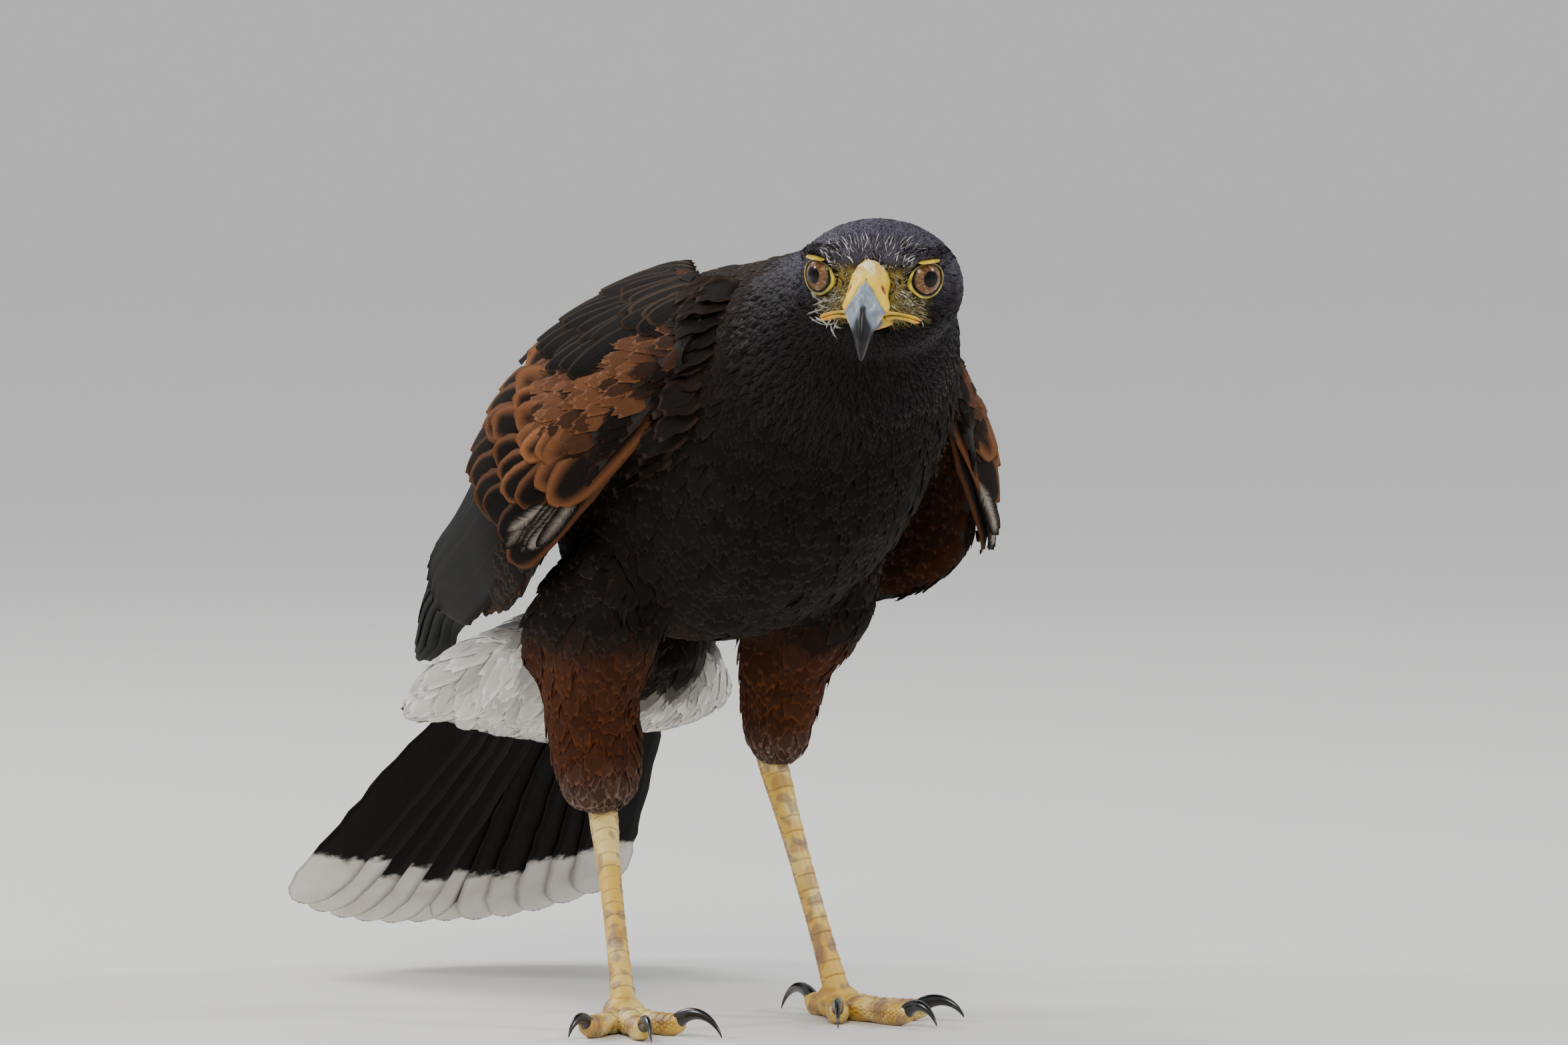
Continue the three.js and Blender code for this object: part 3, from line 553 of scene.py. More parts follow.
contour_web = feather_material("contour_feather_keratin", roughness=0.8, sheen="7a6a5c")
crown_web = feather_material(
    "crown_feather_keratin", sheen="8d86a0", sheen_weight=0.03, specular=0.1
)
down_web = feather_material(
    "white_feather_keratin", roughness=0.8, sheen="ffffff", sheen_weight=0.15, contrast=0.25
)
flight_web = feather_material(
    "flight_feather_keratin", sheen_weight=0.02, shaft="1a1512", shaft_mix=0.6, specular=0.05
)
lining_web = feather_material(
    "wing_lining_keratin", roughness=0.75, sheen="b08a6a", sheen_weight=0.05
)
skin_material, tree, shader = new_material("feathered_skin")
marks = add(tree, "ShaderNodeAttribute", attribute_name="centre").outputs["Color"]
feed(tree, shader, {"Base Color": marks, "Roughness": 0.9})
skin.data.materials.append(skin_material)
print("feather finishes:", [m.name for m in (contour_web, crown_web, down_web, flight_web, lining_web)])

# %% [markdown]
# ## Where each body feather goes
#
# A coat has three maps. One says which way the feathers lie: back from the bill over the head, along
# the trunk, down the thighs. One says how long they are: three millimetres at the bill, one and a
# half centimetres on the belly. One says how they are marked, and it paints a sheen on the crown that
# lightens towards the top of the head. All three are functions of a place on the bird, so that skin
# and feathers agree.

# %% The lie, the length, the markings and the painted sheen of the coat
FACE = np.array([0.0, -27.0, 1.0])  # where the feathers of the head start, in the head's frame
TAIL_SLOPE = math.radians(38.1)
TAIL_ROOT = np.array([-4, 104, 150.0])
LEG_AXES = {
    "right": np.array([[-40, 22, 150], [-38, 52, 112], [-31, 56, 69]], float),
    "left": np.array([[38, 22, 152], [33, 50, 121], [32, 55, 84]], float),
}


def leg_reach(points, side):
    """Distance in mm from a thigh's axis, and how far down it that is, from 0 to 1."""
    hip, shin, ankle = LEG_AXES[side]
    best = np.full(len(points), 1e9)
    down = np.zeros(len(points))
    for a, b, start in ((hip, shin, 0.0), (shin, ankle, 0.5)):
        d = b - a
        t = np.clip((points - a) @ d / (d @ d), 0, 1)
        gap = np.linalg.norm(points - a - t[:, None] * d, axis=1)
        nearer = gap < best
        best[nearer] = gap[nearer]
        down[nearer] = start + 0.5 * t[nearer]
    return best, down


def zones(points, out):
    """How much each place belongs to the head, the thighs, the undertail, the rump and the front."""
    in_head = to_head(points)
    face = np.linalg.norm(in_head - FACE, axis=1)
    head = 1 - fade(48, 80, face)
    thigh = np.zeros(len(points))
    down = np.zeros(len(points))
    for side in SIDES:
        gap, along = leg_reach(points, side)
        part = (1 - fade(24, 32, gap)) * fade(142, 128, points[:, 2])
        part = part * (1 - fade(84, 92, points[:, 1]))
        down = np.where(part > thigh, along, down)
        thigh = np.maximum(thigh, part)
    tail_plane = TAIL_ROOT[2] - (points[:, 1] - TAIL_ROOT[1]) * math.tan(TAIL_SLOPE)
    behind = fade(92, 108, points[:, 1])
    x, y, z = np.abs(in_head[:, 0]), in_head[:, 1], in_head[:, 2]
    lore = fade(4.0, 5.5, x) * fade(17, 15, x) * fade(-11, -14, y) * fade(-8.5, -7, z)
    return {
        "head": head,
        "thigh": thigh,
        "down": down,
        "under": behind * (points[:, 2] < tail_plane),
        "rump": behind * (points[:, 2] >= tail_plane),
        "front": fade(0.2, -0.5, out[:, 2]) * (1 - head),
        "face": face,
        "lore": lore * fade(10.5, 8.5, z),
    }


def lie_of(points, out, zone):
    """The direction in which feathers point, as unit vectors along the skin."""
    from_face = (to_head(points) - FACE) @ head_axes.T
    along_trunk = np.array([0, 0.86, -0.42]) + zone["front"][:, None] * np.array([0, -0.2, -0.45])
    lie = unit(from_face) * zone["head"][:, None] + along_trunk * (1 - zone["head"])[:, None]
    for part, way in (("thigh", (0, 0.3, -1)), ("under", (0, 0.79, -0.5)), ("rump", (0, 0.79, -0.61))):
        lie = lie * (1 - zone[part])[:, None] + np.array(way) * zone[part][:, None]
    return along_skin(lie, out)


def length_of(zone):
    """Feather length in mm."""
    length = 2.8 + 0.085 * np.minimum(zone["face"], 60) + 8.5 * fade(50, 130, zone["face"])
    length = length * (1 - zone["thigh"]) + (18 - 8 * zone["down"]) * zone["thigh"]
    return length + (24 - length) * zone["under"] + (22 - length) * zone["rump"]


def layered(count, base, *layers):
    """Colours for a number of points: a base under layers, each a hex colour and its weight."""
    colour = np.repeat([paint(base)], count, 0)
    for code, weight in layers:
        colour = colour * (1 - weight)[:, None] + np.array(paint(code))[None] * weight[:, None]
    return colour


def markings_and_sheen(points, out, zone):
    """The middle colour and the edge colour of the feather at each place, with a painted sheen on the
    crown.
    """
    head, thigh, lore = zone["head"], zone["thigh"], zone["lore"]
    back = fade(0.1, 0.6, out[:, 2]) * (1 - head)
    # The crown's grey-violet is partly the feathers' own colour and partly a painted sheen, lighter towards
    # the top of the head, in both the middle and the edge colours.
    crown = head * fade(-7, 11, to_head(points)[:, 2])
    throat = zone["front"] * (1 - fade(-70, 0, points[:, 1]))
    frost = thigh * fade(0.62, 0.85, zone["down"])
    white = np.maximum(zone["under"], zone["rump"])
    centre = layered(
        len(points), "171310", ("221c19", back), ("110e0d", head), ("39343b", crown),
        ("100d0b", throat), ("3a2013", thigh), ("4a3a33", frost * 0.6), ("8a7a3a", lore),
        ("cfc8c0", white),
    )
    rim = layered(
        len(points), "2c2019", ("46372e", back), ("1f1a19", head), ("625e6c", crown),
        ("1c1713", throat), ("5c3119", thigh), ("8a7c74", frost * 0.7), ("8a7a3a", lore),
        ("f1ede7", white),
    )
    return centre, rim

# %% [markdown]
# Feathers stand in a net of nearly even spacing that widens with their length. Candidates are thrown
# on the skin at random, more where feathers are small, and one by one each that is kept clears its
# neighbours away. The random numbers have a fixed seed, so that every run grows the same bird.

# %% Roots on a surface
rng = np.random.default_rng(11)
CROWD = 3.2  # candidates for each root that a place could hold
SPACING, HEAD_SPACING = 0.21, 0.135  # of a feather's length


def scattered(mesh, spacing_of):
    """Points on a quad mesh with their normals, kept apart by spacing_of(points) in metres."""
    co = co_of(mesh)
    out = values_of(mesh, "out", 3)
    quads = np.array([tuple(p.vertices) for p in mesh.polygons])
    corners = co[quads]
    across = np.cross(corners[:, 2] - corners[:, 0], corners[:, 3] - corners[:, 1])
    area = np.linalg.norm(across, axis=1) / 2
    gap = spacing_of(corners.mean(1))
    weight = area / gap**2
    count = int(weight.sum() * CROWD)
    chosen = rng.choice(len(quads), count, p=weight / weight.sum())
    u, v = rng.random((2, count))
    parts = np.stack([(1 - u) * (1 - v), u * (1 - v), u * v, (1 - u) * v], 1)[..., None]
    points = (corners[chosen] * parts).sum(1)
    normals = unit((out[quads[chosen]] * parts).sum(1))
    gap = gap[chosen]
    tree = kdtree.KDTree(count)
    for i, point in enumerate(points):
        tree.insert(point, i)
    tree.balance()
    free = np.ones(count, bool)
    kept = []
    for i in range(count):
        if free[i]:
            kept.append(i)
            for _, j, _ in tree.find_range(points[i], gap[i]):
                free[j] = False
    return points[kept], normals[kept]


def body_spacing(points):
    """How far apart roots stand on the body, in metres."""
    bird = (points - shift) / MM
    zone = zones(bird, np.zeros_like(bird))
    fine = (zone["head"] > 0.5) | (zone["under"] > 0.5) | (zone["rump"] > 0.5)
    return length_of(zone) * np.where(fine, HEAD_SPACING, SPACING) * MM


roots, root_normals = scattered(skin.data, body_spacing)
print("body feathers:", len(roots))

# %% [markdown]
# ## A node tree that lays feathers
#
# The tree takes a cloud of roots. Each root carries its normal, the direction of its feather, a
# length and a width. The tree sets a copy of the blade on each root, makes the copies real, then
# lays every point of them down on the surface: the nearest place on the skin gives its foot, and its
# height over the skin grows from root to tip. So a feather bends over whatever it lies on, as the
# real one does.

# %% The feather-laying tree
TREE_INPUTS = {
    "Geometry": "Geometry", "Surface": "Object", "Blade": "Object", "Finish": "Material",
    "Sink": "Float", "Thickness": "Float", "Cup": "Float", "Ruffle": "Float",
}
VECTOR = {"data_type": "FLOAT_VECTOR"}


def laying_tree():
    """Geometry nodes that lay a copy of the blade on each root, with the inputs named above."""
    tree = bpy.data.node_groups.new("lay_feathers", "GeometryNodeTree")
    for name, kind in TREE_INPUTS.items():
        tree.interface.new_socket(name, in_out="INPUT", socket_type=f"NodeSocket{kind}")
    tree.interface.new_socket("Geometry", in_out="OUTPUT", socket_type="NodeSocketGeometry")
    node = partial(add, tree)
    given = node("NodeGroupInput").outputs
    known = {
        key: node("GeometryNodeInputNamedAttribute", {"Name": key}, data_type=kind)
        for kind, keys in (
            ("FLOAT", ("width", "length", "rise", "along", "across", "face")),
            ("FLOAT_VECTOR", ("out", "lie")),
        )
        for key in keys
    }
    surface, blade = (
        node("GeometryNodeObjectInfo", {"Object": given[name]}).outputs["Geometry"]
        for name in ("Surface", "Blade")
    )
    turned = node(
        "FunctionNodeAxesToRotation",
        (known["out"], known["lie"]),
        primary_axis="Z",
        secondary_axis="Y",
    )
    size = node("ShaderNodeCombineXYZ", (known["width"], known["length"], 1.0))
    copies = node(
        "GeometryNodeInstanceOnPoints",
        {"Points": given["Geometry"], "Instance": blade, "Rotation": turned, "Scale": size},
    )
    real = node("GeometryNodeRealizeInstances", (copies,))
    here = node("GeometryNodeInputPosition")
    nearest = "GeometryNodeSampleNearestSurface"
    foot = node(nearest, {"Mesh": surface, "Value": here}, **VECTOR)
    normal = node(nearest, {"Mesh": surface, "Value": known["out"]}, **VECTOR)
    eased = node("ShaderNodeMath", (known["along"], 0.7), operation="POWER")
    rise = node("ShaderNodeMath", (eased, known["rise"], given["Sink"]), **MULTIPLY_ADD)
    bulge = node("ShaderNodeMath", (known["face"], given["Thickness"], rise), **MULTIPLY_ADD)
    square = node("ShaderNodeMath", (known["across"], known["across"]), operation="MULTIPLY")
    cupped = node("ShaderNodeMath", (square, given["Cup"]), operation="MULTIPLY")
    height = node("ShaderNodeMath", (cupped, known["width"], bulge), **MULTIPLY_ADD)
    noise = node("ShaderNodeTexNoise", {"Scale": 600.0, "Detail": 2.5, "Roughness": 0.8})
    centred = (noise.outputs["Color"], (0.5, 0.5, 0.5))
    centred = node("ShaderNodeVectorMath", centred, operation="SUBTRACT")
    tip = node("ShaderNodeMath", (known["along"], 3.0), operation="POWER")
    ruffle = node("ShaderNodeMath", (tip, given["Ruffle"]), operation="MULTIPLY")
    frayed = node("ShaderNodeVectorMath", {0: centred, "Scale": ruffle}, operation="SCALE")
    lifted = node("ShaderNodeVectorMath", {0: normal, "Scale": height}, operation="SCALE")
    stood = node("ShaderNodeVectorMath", (foot, lifted), operation="ADD")
    moved = node("ShaderNodeVectorMath", (stood, frayed), operation="ADD")
    laid = node("GeometryNodeSetPosition", {"Geometry": real, "Position": moved})
    soft = node("GeometryNodeSetShadeSmooth", {"Geometry": laid})
    done = node("GeometryNodeSetMaterial", {"Geometry": soft, "Material": given["Finish"]})
    node("NodeGroupOutput", (done,))
    return tree


lay_feathers = laying_tree()
print("nodes in the tree:", len(lay_feathers.nodes))

# %% [markdown]
# One function grows a coat piece. It makes the cloud of roots with their attributes, runs the tree,
# and keeps the evaluated mesh. Then it works out for each point of each feather how far the edge is,
# and gives the piece its map for baking: each feather is a small patch at its root's place, on an
# unwrap of the body round its long axis.

# %% Growing a coat piece
PATCH = 0.003  # side of a feather's patch on the map
MIDDLE_Y = [-160, -104, -42, 20, 103, 170]  # the bird's middle line, from bill to tail
MIDDLE_Z = [245, 247, 213, 187, 153, 100]
MAP_LENGTH = 350  # mm of the bird along the whole map


def unwrap(points):
    """A place on the bird as two numbers from 0 to 1: along it, and round its middle line."""
    middle = np.interp(points[:, 1], MIDDLE_Y, MIDDLE_Z)
    round_it = np.arctan2(points[:, 0], points[:, 2] - middle) / (2 * math.pi) + 0.5
    return np.stack([(points[:, 1] + 170) / MAP_LENGTH, round_it], 1)


def map_for_baking(mesh, of_points):
    """A UV map named OFBake from one place in it for each point."""
    layer = mesh.uv_layers.new(name="OFBake")
    corners = np.zeros(len(mesh.loops), np.int32)
    mesh.loops.foreach_get("vertex_index", corners)
    layer.data.foreach_set("uv", of_points[corners].astype(np.float32).ravel())


def coat(name, points, data, surface, blade, finish, uv, sink=-0.3, thickness=0.1, cup=-0.05, ruffle=0.7):
    """Feathers rooted at points in metres. data holds normals, lie, sizes in mm and colours."""
    cloud = build(name, points, [])
    for key, values in data.items():
        in_mm = key in ("length", "width", "rise")
        attribute(cloud.data, key, values * MM if in_mm else values)
    attribute(cloud.data, "patch", np.column_stack([uv, np.zeros(len(uv))]))
    layer = cloud.modifiers.new("lay", "NODES")
    layer.node_group = lay_feathers
    sockets = {s.name: s.identifier for s in lay_feathers.interface.items_tree if s.in_out == "INPUT"}
    chosen = {
        "Surface": surface,
        "Blade": blade,
        "Finish": finish,
        "Sink": sink * MM,
        "Thickness": thickness * MM,
        "Cup": cup,
        "Ruffle": ruffle * MM,
    }
    for key, value in chosen.items():
        layer[sockets[key]] = value
    finished(cloud, [])
    mesh = cloud.data
    t, c, tone = (values_of(mesh, key) for key in ("along", "across", "tone"))
    length, width = values_of(mesh, "length") / MM, values_of(mesh, "width") / MM
    half = width * body_breadth(t) / 2
    attribute(mesh, "edge", np.minimum((1 - np.abs(c)) * half, (1 - t) * length))
    attribute(mesh, "plume", np.stack([c * half, t * length, tone], 1))
    patch = values_of(mesh, "patch", 3)[:, :2] + np.stack([c * 0.5, t - 0.5], 1) * PATCH
    map_for_baking(mesh, patch)
    for key in ("along", "across", "face", "length", "width", "rise", "tone", "patch", "lie", "out"):
        mesh.attributes.remove(mesh.attributes[key])
    return cloud

# %% [markdown]
# The body's roots now get their sizes and colours, each a little different from its neighbours. They
# are sorted by region, because a piece should stay small enough to handle, and because the head
# wants finer blades and a silkier finish than the belly.

# %% Feathers of the body
EYE_CLEARANCE = 12  # mm from an eye's middle within which no feather may cross the lids
BROW_HEIGHT = 5.8  # mm over an eye's middle, above which feathers may stay
SHANK_TOP = 60  # z in mm, under which the legs are bare
NECK_END = -58  # y in mm, before which the neck's feathers stand
CROWN_EDGE = 2  # z in the head's frame, over which its feathers count as the crown's


def free_of_eyes(bird, lie, length, limit=58):
    """Which feathers keep off the lids, from root to tip. Those over the brow may stay."""
    free = np.ones(len(bird), bool)
    for share in (0, 0.5, 1):
        at = to_head(bird + lie * (length * share)[:, None])
        for side in SIDES.values():
            offset, reach, aside = seen_from_eye(at, side)
            near = (aside < math.radians(limit)) & (reach < EYE_CLEARANCE)
            free &= ~(near & (offset[:, 2] < BROW_HEIGHT))
    return free


bird = (roots - shift) / MM
zone = zones(bird, root_normals)
white = np.maximum(zone["under"], zone["rump"])
slimness = np.where(zone["head"] > 0.5, 0.42, 0.62 - 0.24 * white)
length = length_of(zone) * rng.uniform(0.9, 1.12, len(bird))
centre, rim = markings_and_sheen(bird, root_normals, zone)
lie = lie_of(bird, root_normals, zone) + rng.normal(0, 0.12, (len(bird), 3))
body = {
    "out": root_normals,
    "lie": along_skin(lie, root_normals),
    "length": length,
    "width": length * slimness * rng.uniform(0.85, 1.15, len(bird)),
    "rise": (0.8 + 0.09 * length) * (1 - 0.35 * zone["head"]) * rng.uniform(0.6, 1.3, len(bird)),
    "tone": rng.random(len(bird)),
    "rim_width": 0.3 + 0.07 * length,
    "centre": centre,
    "rim": rim,
}
clear = free_of_eyes(bird, body["lie"], length) & (zone["lore"] < 0.5) & (bird[:, 2] > SHANK_TOP)
of_head = zone["head"] + rng.normal(0, 0.13, len(bird)) > 0.5
upper = to_head(bird)[:, 2] > CROWN_EDGE
regions = {
    "coat_crown": (of_head & upper, fine_blade, crown_web),
    "coat_cheeks": (of_head & ~upper, fine_blade, crown_web),
    "coat_thighs": (~of_head & (zone["thigh"] > 0.5), middle_blade, contour_web),
    "coat_undertail": (white > 0.5, large_blade, down_web),
}
taken = np.any([mask for mask, _, _ in regions.values()], axis=0)
neck = ~taken & (bird[:, 1] < NECK_END)
back = ~taken & ~neck & (root_normals[:, 2] > 0.15)
regions["coat_neck"] = (neck, middle_blade, contour_web)
regions["coat_back"] = (back, large_blade, contour_web)
regions["coat_breast"] = (~taken & ~neck & ~back, large_blade, contour_web)
for name, (mask, blade, finish) in regions.items():
    mask = mask & clear
    picked = {key: values[mask] for key, values in body.items()}
    thickness = 0.04 if blade == fine_blade else 0.1
    grown = coat(
        name, roots[mask], picked, skin, blade, finish, unwrap(bird[mask]), thickness=thickness
    )
    dress(grown, "white" if "undertail" in name else "plumage")

# %% [markdown]
# ## The wings
#
# A folded wing is a roof of feathers laid on a curved face. The face is given by eight rows from the
# shoulder to the tip, each with its lower edge, middle and upper edge. A place on it has two
# numbers: y along the bird, and v from 0 at the lower edge to 1 on the back. A third number lifts a
# point off the face, outwards.

# %% The wing's face
WING = np.array(
    [
        [-54, 47, 226, 48, 232, 42, 242],
        [-34, 67, 196, 62, 225, 34, 254],
        [-10, 84, 163, 78, 215, 29, 257],
        [25, 82, 143, 84, 211, 25, 256],
        [70, 72, 135, 76, 188, 22, 238],
        [120, 60, 129, 64, 164, 23, 204],
        [180, 44, 120, 49, 141, 26, 162],
        [236, 28, 106, 30, 114, 28, 122],
    ],
    float,
)


def between_rows(rows, y):
    """Values at y on smooth curves through rows whose first column is y."""
    keys, values = rows[:, 0], rows[:, 1:]
    last = len(keys) - 1
    before, after = np.maximum(np.arange(last + 1) - 1, 0), np.minimum(np.arange(last + 1) + 1, last)
    slopes = (values[after] - values[before]) / (keys[after] - keys[before])[:, None]
    k = np.clip(np.searchsorted(keys, y, side="right") - 1, 0, last - 1)
    span = (keys[k + 1] - keys[k])[..., None]
    t = (np.asarray(y, float) - keys[k])[..., None] / span
    return (
        (2 * t**3 - 3 * t**2 + 1) * values[k]
        + (t**3 - 2 * t**2 + t) * span * slopes[k]
        + (3 * t**2 - 2 * t**3) * values[k + 1]
        + (t**3 - t**2) * span * slopes[k + 1]
    )


def wing_face(side):
    """The function of y, v and lift that gives points of the wing in mm."""

    def flat(y, v):
        row = between_rows(WING, y)
        low, mid, high = (1 - v) * (1 - 2 * v), 4 * v * (1 - v), v * (2 * v - 1)
        x = low * row[..., 0] + mid * row[..., 2] + high * row[..., 4]
        z = low * row[..., 1] + mid * row[..., 3] + high * row[..., 5]
        return np.stack([x, y, z], -1)

    def face(y, v, lift):
        y, v, lift = np.broadcast_arrays(*(np.asarray(a, float) for a in (y, v, lift)))
        up = flat(y, v + 0.01) - flat(y, v - 0.01)
        back = flat(y + 1, v) - flat(y - 1, v)
        points = flat(y, v) + unit(np.cross(back, up)) * lift[..., None]
        return points * [side, 1, 1]

    return face


# %% [markdown]
# Each long feather follows the face from its root to its tip. At every step the builder asks how
# the face's two numbers change over one millimetre across the feather, and spreads the webs that
# way. One edge is rolled up and the other down, as tiles are laid, so that neighbours in a row lie
# over each other in order. The rim is nicked at random where barbs have parted.

# %% Long feathers


def breadth(t, quill=0.45, full=0.35, shoulder=0.62, tip=0.06):
    """A feather's half width along its length, as a share of the widest."""
    grown = quill + (1 - quill) * fade(0, full, t)
    rounding = np.sqrt(np.clip(1 - np.clip((t - shoulder) / (1 - shoulder), 0, 1) ** 2.2, 0, 1))
    return np.maximum(grown * rounding, tip * (t > 0.5))


def long_feather(face, start, end, lift, width, rise=1.0, roll=0.0, bow=0.0, grid=(15, 7), *, form):
    """One feather's points in mm with their place along and across it, and its half width."""
    t, c, side_of = lens_rows(*grid)
    base = np.stack([start[0] + (end[0] - start[0]) * t, start[1] + (end[1] - start[1]) * t], 1)
    height = lift[0] + (lift[1] - lift[0]) * t**rise
    step = 0.01  # in v

    def at(a, b, extra=0.0):
        return face(base[:, 0] + a, base[:, 1] + b, height + extra)

    middle = at(0, 0)
    out = unit(at(0, 0, 1) - middle)
    d = (np.array(end, float) - np.array(start, float)) * step
    along = unit(at(*d) - at(*-d))
    sideways = np.cross(along, out)
    first = at(1, 0) - middle
    second = (at(0, step) - middle) / step
    ff, fs, ss = ((a * b).sum(1) for a, b in ((first, first), (first, second), (second, second)))
    sf, s2 = (sideways * first).sum(1), (sideways * second).sum(1)
    lost = ff * ss - fs * fs
    half = width / 2 * breadth(t, **form)
    nick = np.where(np.abs(c) > 0.9, rng.uniform(0.9, 1.0, len(t)), 1.0)
    across = c * half * nick + bow * np.sin(math.pi * t)
    a, b = (sf * ss - s2 * fs) / lost * across, (s2 * ff - sf * fs) / lost * across
    shape = roll * c - 0.22 * c * c + 0.14 * side_of * (1 - 0.6 * t)
    return face(base[:, 0] + a, base[:, 1] + b, height + shape), t, c, half


def plumage(name, feathers, material, grid=(15, 7)):
    """One piece from many long feathers, each with its points, colours and own bit of the map."""
    faces, count = lens_faces(*grid)
    known = {key: [] for key in ("edge", "plume", "centre", "rim", "rim_width", "tip")}
    parts, cells = [], []
    rows = math.ceil(math.sqrt(len(feathers)))
    for n, ((points, t, c, half), looks) in enumerate(feathers):
        on_shaft = points[np.abs(c) < 0.01]
        size = np.linalg.norm(on_shaft[t[np.abs(c) < 0.01] == 1][0] - on_shaft[0])
        parts.append((place(points), faces))
        known["edge"].append(np.minimum((1 - np.abs(c)) * half, (1 - t) * size))
        known["plume"].append(np.stack([c * half, t * size, np.full(count, looks["tone"])], 1))
        for key in ("centre", "rim", "rim_width"):
            known[key].append(np.repeat([looks[key]], count, 0))
        known["tip"].append((1 - t) * size + looks.get("band_shift", 0))
        corner = np.array([n % rows, n // rows])
        cells.append((corner + np.stack([0.5 + c * 0.45, 0.05 + t * 0.9], 1)) / rows)
    made = joined(name, parts, material)
    for key, values in known.items():
        attribute(made.data, key, np.concatenate(values))
    map_for_baking(made.data, np.vstack(cells))
    return made

# %% [markdown]
# The tiers are laid from the tip of the wing forwards. Primaries and secondaries are black-brown.
# The greater and median coverts have black middles and chestnut edges, and the lesser coverts at
# the shoulder are chestnut throughout. Black scapulars hang over the upper edge. A few small feathers
# of the thumb, at the wing's lower edge, are mottled white.

# %% Tiers of the wing
BLACK = "0b0908"
STRAY = [1.2, 0.006]  # how far the ends of feathers leave their row, in mm and in v
TIERS = {
    "primaries": {
        "count": 9, "width": 17, "roots": [[4, 0.14], [30, 0.3]], "tips": [[214, 0.14], [186, 0.84]],
        "out": 34, "stack": 0.6, "lift": [-13.5, -5.2], "centre": BLACK, "rim": "171310",
        "rim_width": 0.8, "form": {"shoulder": 0.72, "quill": 0.35},
    },
    "secondaries": {
        "count": 13, "width": 19, "roots": [[2, 0.14], [56, 0.8]], "tips": [[124, 0.11], [156, 0.94]],
        "out": 4, "rise": 1.4, "lift": [-6.8, -1], "centre": BLACK, "rim": "1c1612",
        "rim_width": 1.0, "form": {"shoulder": 0.8},
    },
    "greater_coverts": {
        "count": 13, "width": 17, "roots": [[-42, 0.05], [42, 0.78]], "tips": [[4, 0.05], [98, 0.84]],
        "stray": [2.0, 0.012], "lift": [-7, -0.7], "centre": "120e0c", "rim": "553420",
        "rim_width": 2.0, "form": {"shoulder": 0.72},
    },
    "median_coverts": {
        "count": 12, "width": 16, "roots": [[-46, 0.1], [20, 0.74]], "tips": [[-12, 0.1], [62, 0.78]],
        "stray": [3.0, 0.02], "lift": [-6, -0.4], "centre": "130e0b", "rim": "6f462b",
        "rim_width": 3.2, "form": {"shoulder": 0.7},
    },
    "upper_medians": {
        "count": 12, "width": 14, "roots": [[-47, 0.2], [2, 0.74]], "tips": [[-22, 0.18], [40, 0.76]],
        "stray": [3.0, 0.02], "lift": [-5, -0.1], "centre": "1b100a", "rim": "7a4e31",
        "rim_width": 4.6, "form": {"shoulder": 0.68},
    },
    "thumb": {
        "count": 8, "width": 6, "roots": [[-26, 0.01], [-16, 0.12]], "tips": [[-10, 0.0], [2, 0.1]],
        "stray": [3.0, 0.02], "lift": [-3.5, 1.0], "centre": "7d756b", "rim": "15100d",
        "rim_width": 2.0, "form": {"shoulder": 0.6},
    },
    "scapulars_low": {
        "count": 18, "width": 13, "roots": [[-36, 0.84], [52, 0.99]], "tips": [[-16, 0.57], [106, 0.86]],
        "stray": [3.0, 0.02], "rise": 0.7, "lift": [-2.8, 0.5], "centre": "12100e", "rim": "2c231d",
        "rim_width": 1.3, "form": {"shoulder": 0.6},
    },
    "scapulars_middle": {
        "count": 17, "width": 12.5, "roots": [[-42, 0.9], [34, 1.01]], "tips": [[-26, 0.66], [82, 0.9]],
        "stray": [3.0, 0.02], "rise": 0.7, "lift": [-2.6, 0.9], "centre": "151210", "rim": "382b22",
        "rim_width": 1.3, "form": {"shoulder": 0.58},
    },
    "scapulars_high": {
        "count": 15, "width": 12, "roots": [[-44, 0.97], [14, 1.04]], "tips": [[-32, 0.76], [56, 0.95]],
        "stray": [3.0, 0.02], "rise": 0.7, "lift": [-2.6, 1.3], "centre": "181412", "rim": "443529",
        "rim_width": 1.3, "form": {"shoulder": 0.56},
    },
}
WING_PIECES = {  # which tiers each piece of a wing holds, its finish and its slot
    "flight": (("primaries", "secondaries"), flight_web, "flight"),
    "coverts": (("greater_coverts", "median_coverts", "upper_medians", "thumb"), contour_web, "rufous"),
    "scapulars": (("scapulars_low", "scapulars_middle", "scapulars_high"), contour_web, "plumage"),
}


def tier(face, row, side):
    """The feathers of one row, from its first to its last."""
    made = []
    for i in range(row["count"]):
        s = i / (row["count"] - 1)
        start, end = (np.array(a) + (np.array(b) - np.array(a)) * s for a, b in (row["roots"], row["tips"]))
        end = end + rng.normal(0, row.get("stray", STRAY))
        end[0] += row.get("out", 0) * math.sin(math.pi * s)
        lift, roll = row["lift"], -1.0 * side
        if "stack" in row:
            reach = [row["roots"][0][0], row["tips"][0][0] + row["out"]]
            lift = [np.interp(y, reach, lift) + row["stack"] * i for y in (start[0], end[0])]
            roll = 0.0
        shape = long_feather(
            face, start, end, lift, row["width"] * rng.uniform(0.9, 1.1), row.get("rise", 1.0), roll,
            bow=rng.normal(0, 0.5), form=row["form"],
        )
        looks = {
            "tone": rng.random(),
            "centre": np.array(paint(row["centre"])) * rng.uniform(0.85, 1.2),
            "rim": np.array(paint(row["rim"])) * rng.uniform(0.8, 1.25),
            "rim_width": row["rim_width"] * rng.uniform(0.7, 1.3),
        }
        made.append((shape, looks))
    return made


for name, side in SIDES.items():
    face = wing_face(side)
    for piece, (rows, web, slot) in WING_PIECES.items():
        feathers = [feather for row in rows for feather in tier(face, TIERS[row], side)]
        dress(plumage(f"wing_{name}_{piece}", feathers, web), slot, f"wing_{name}")

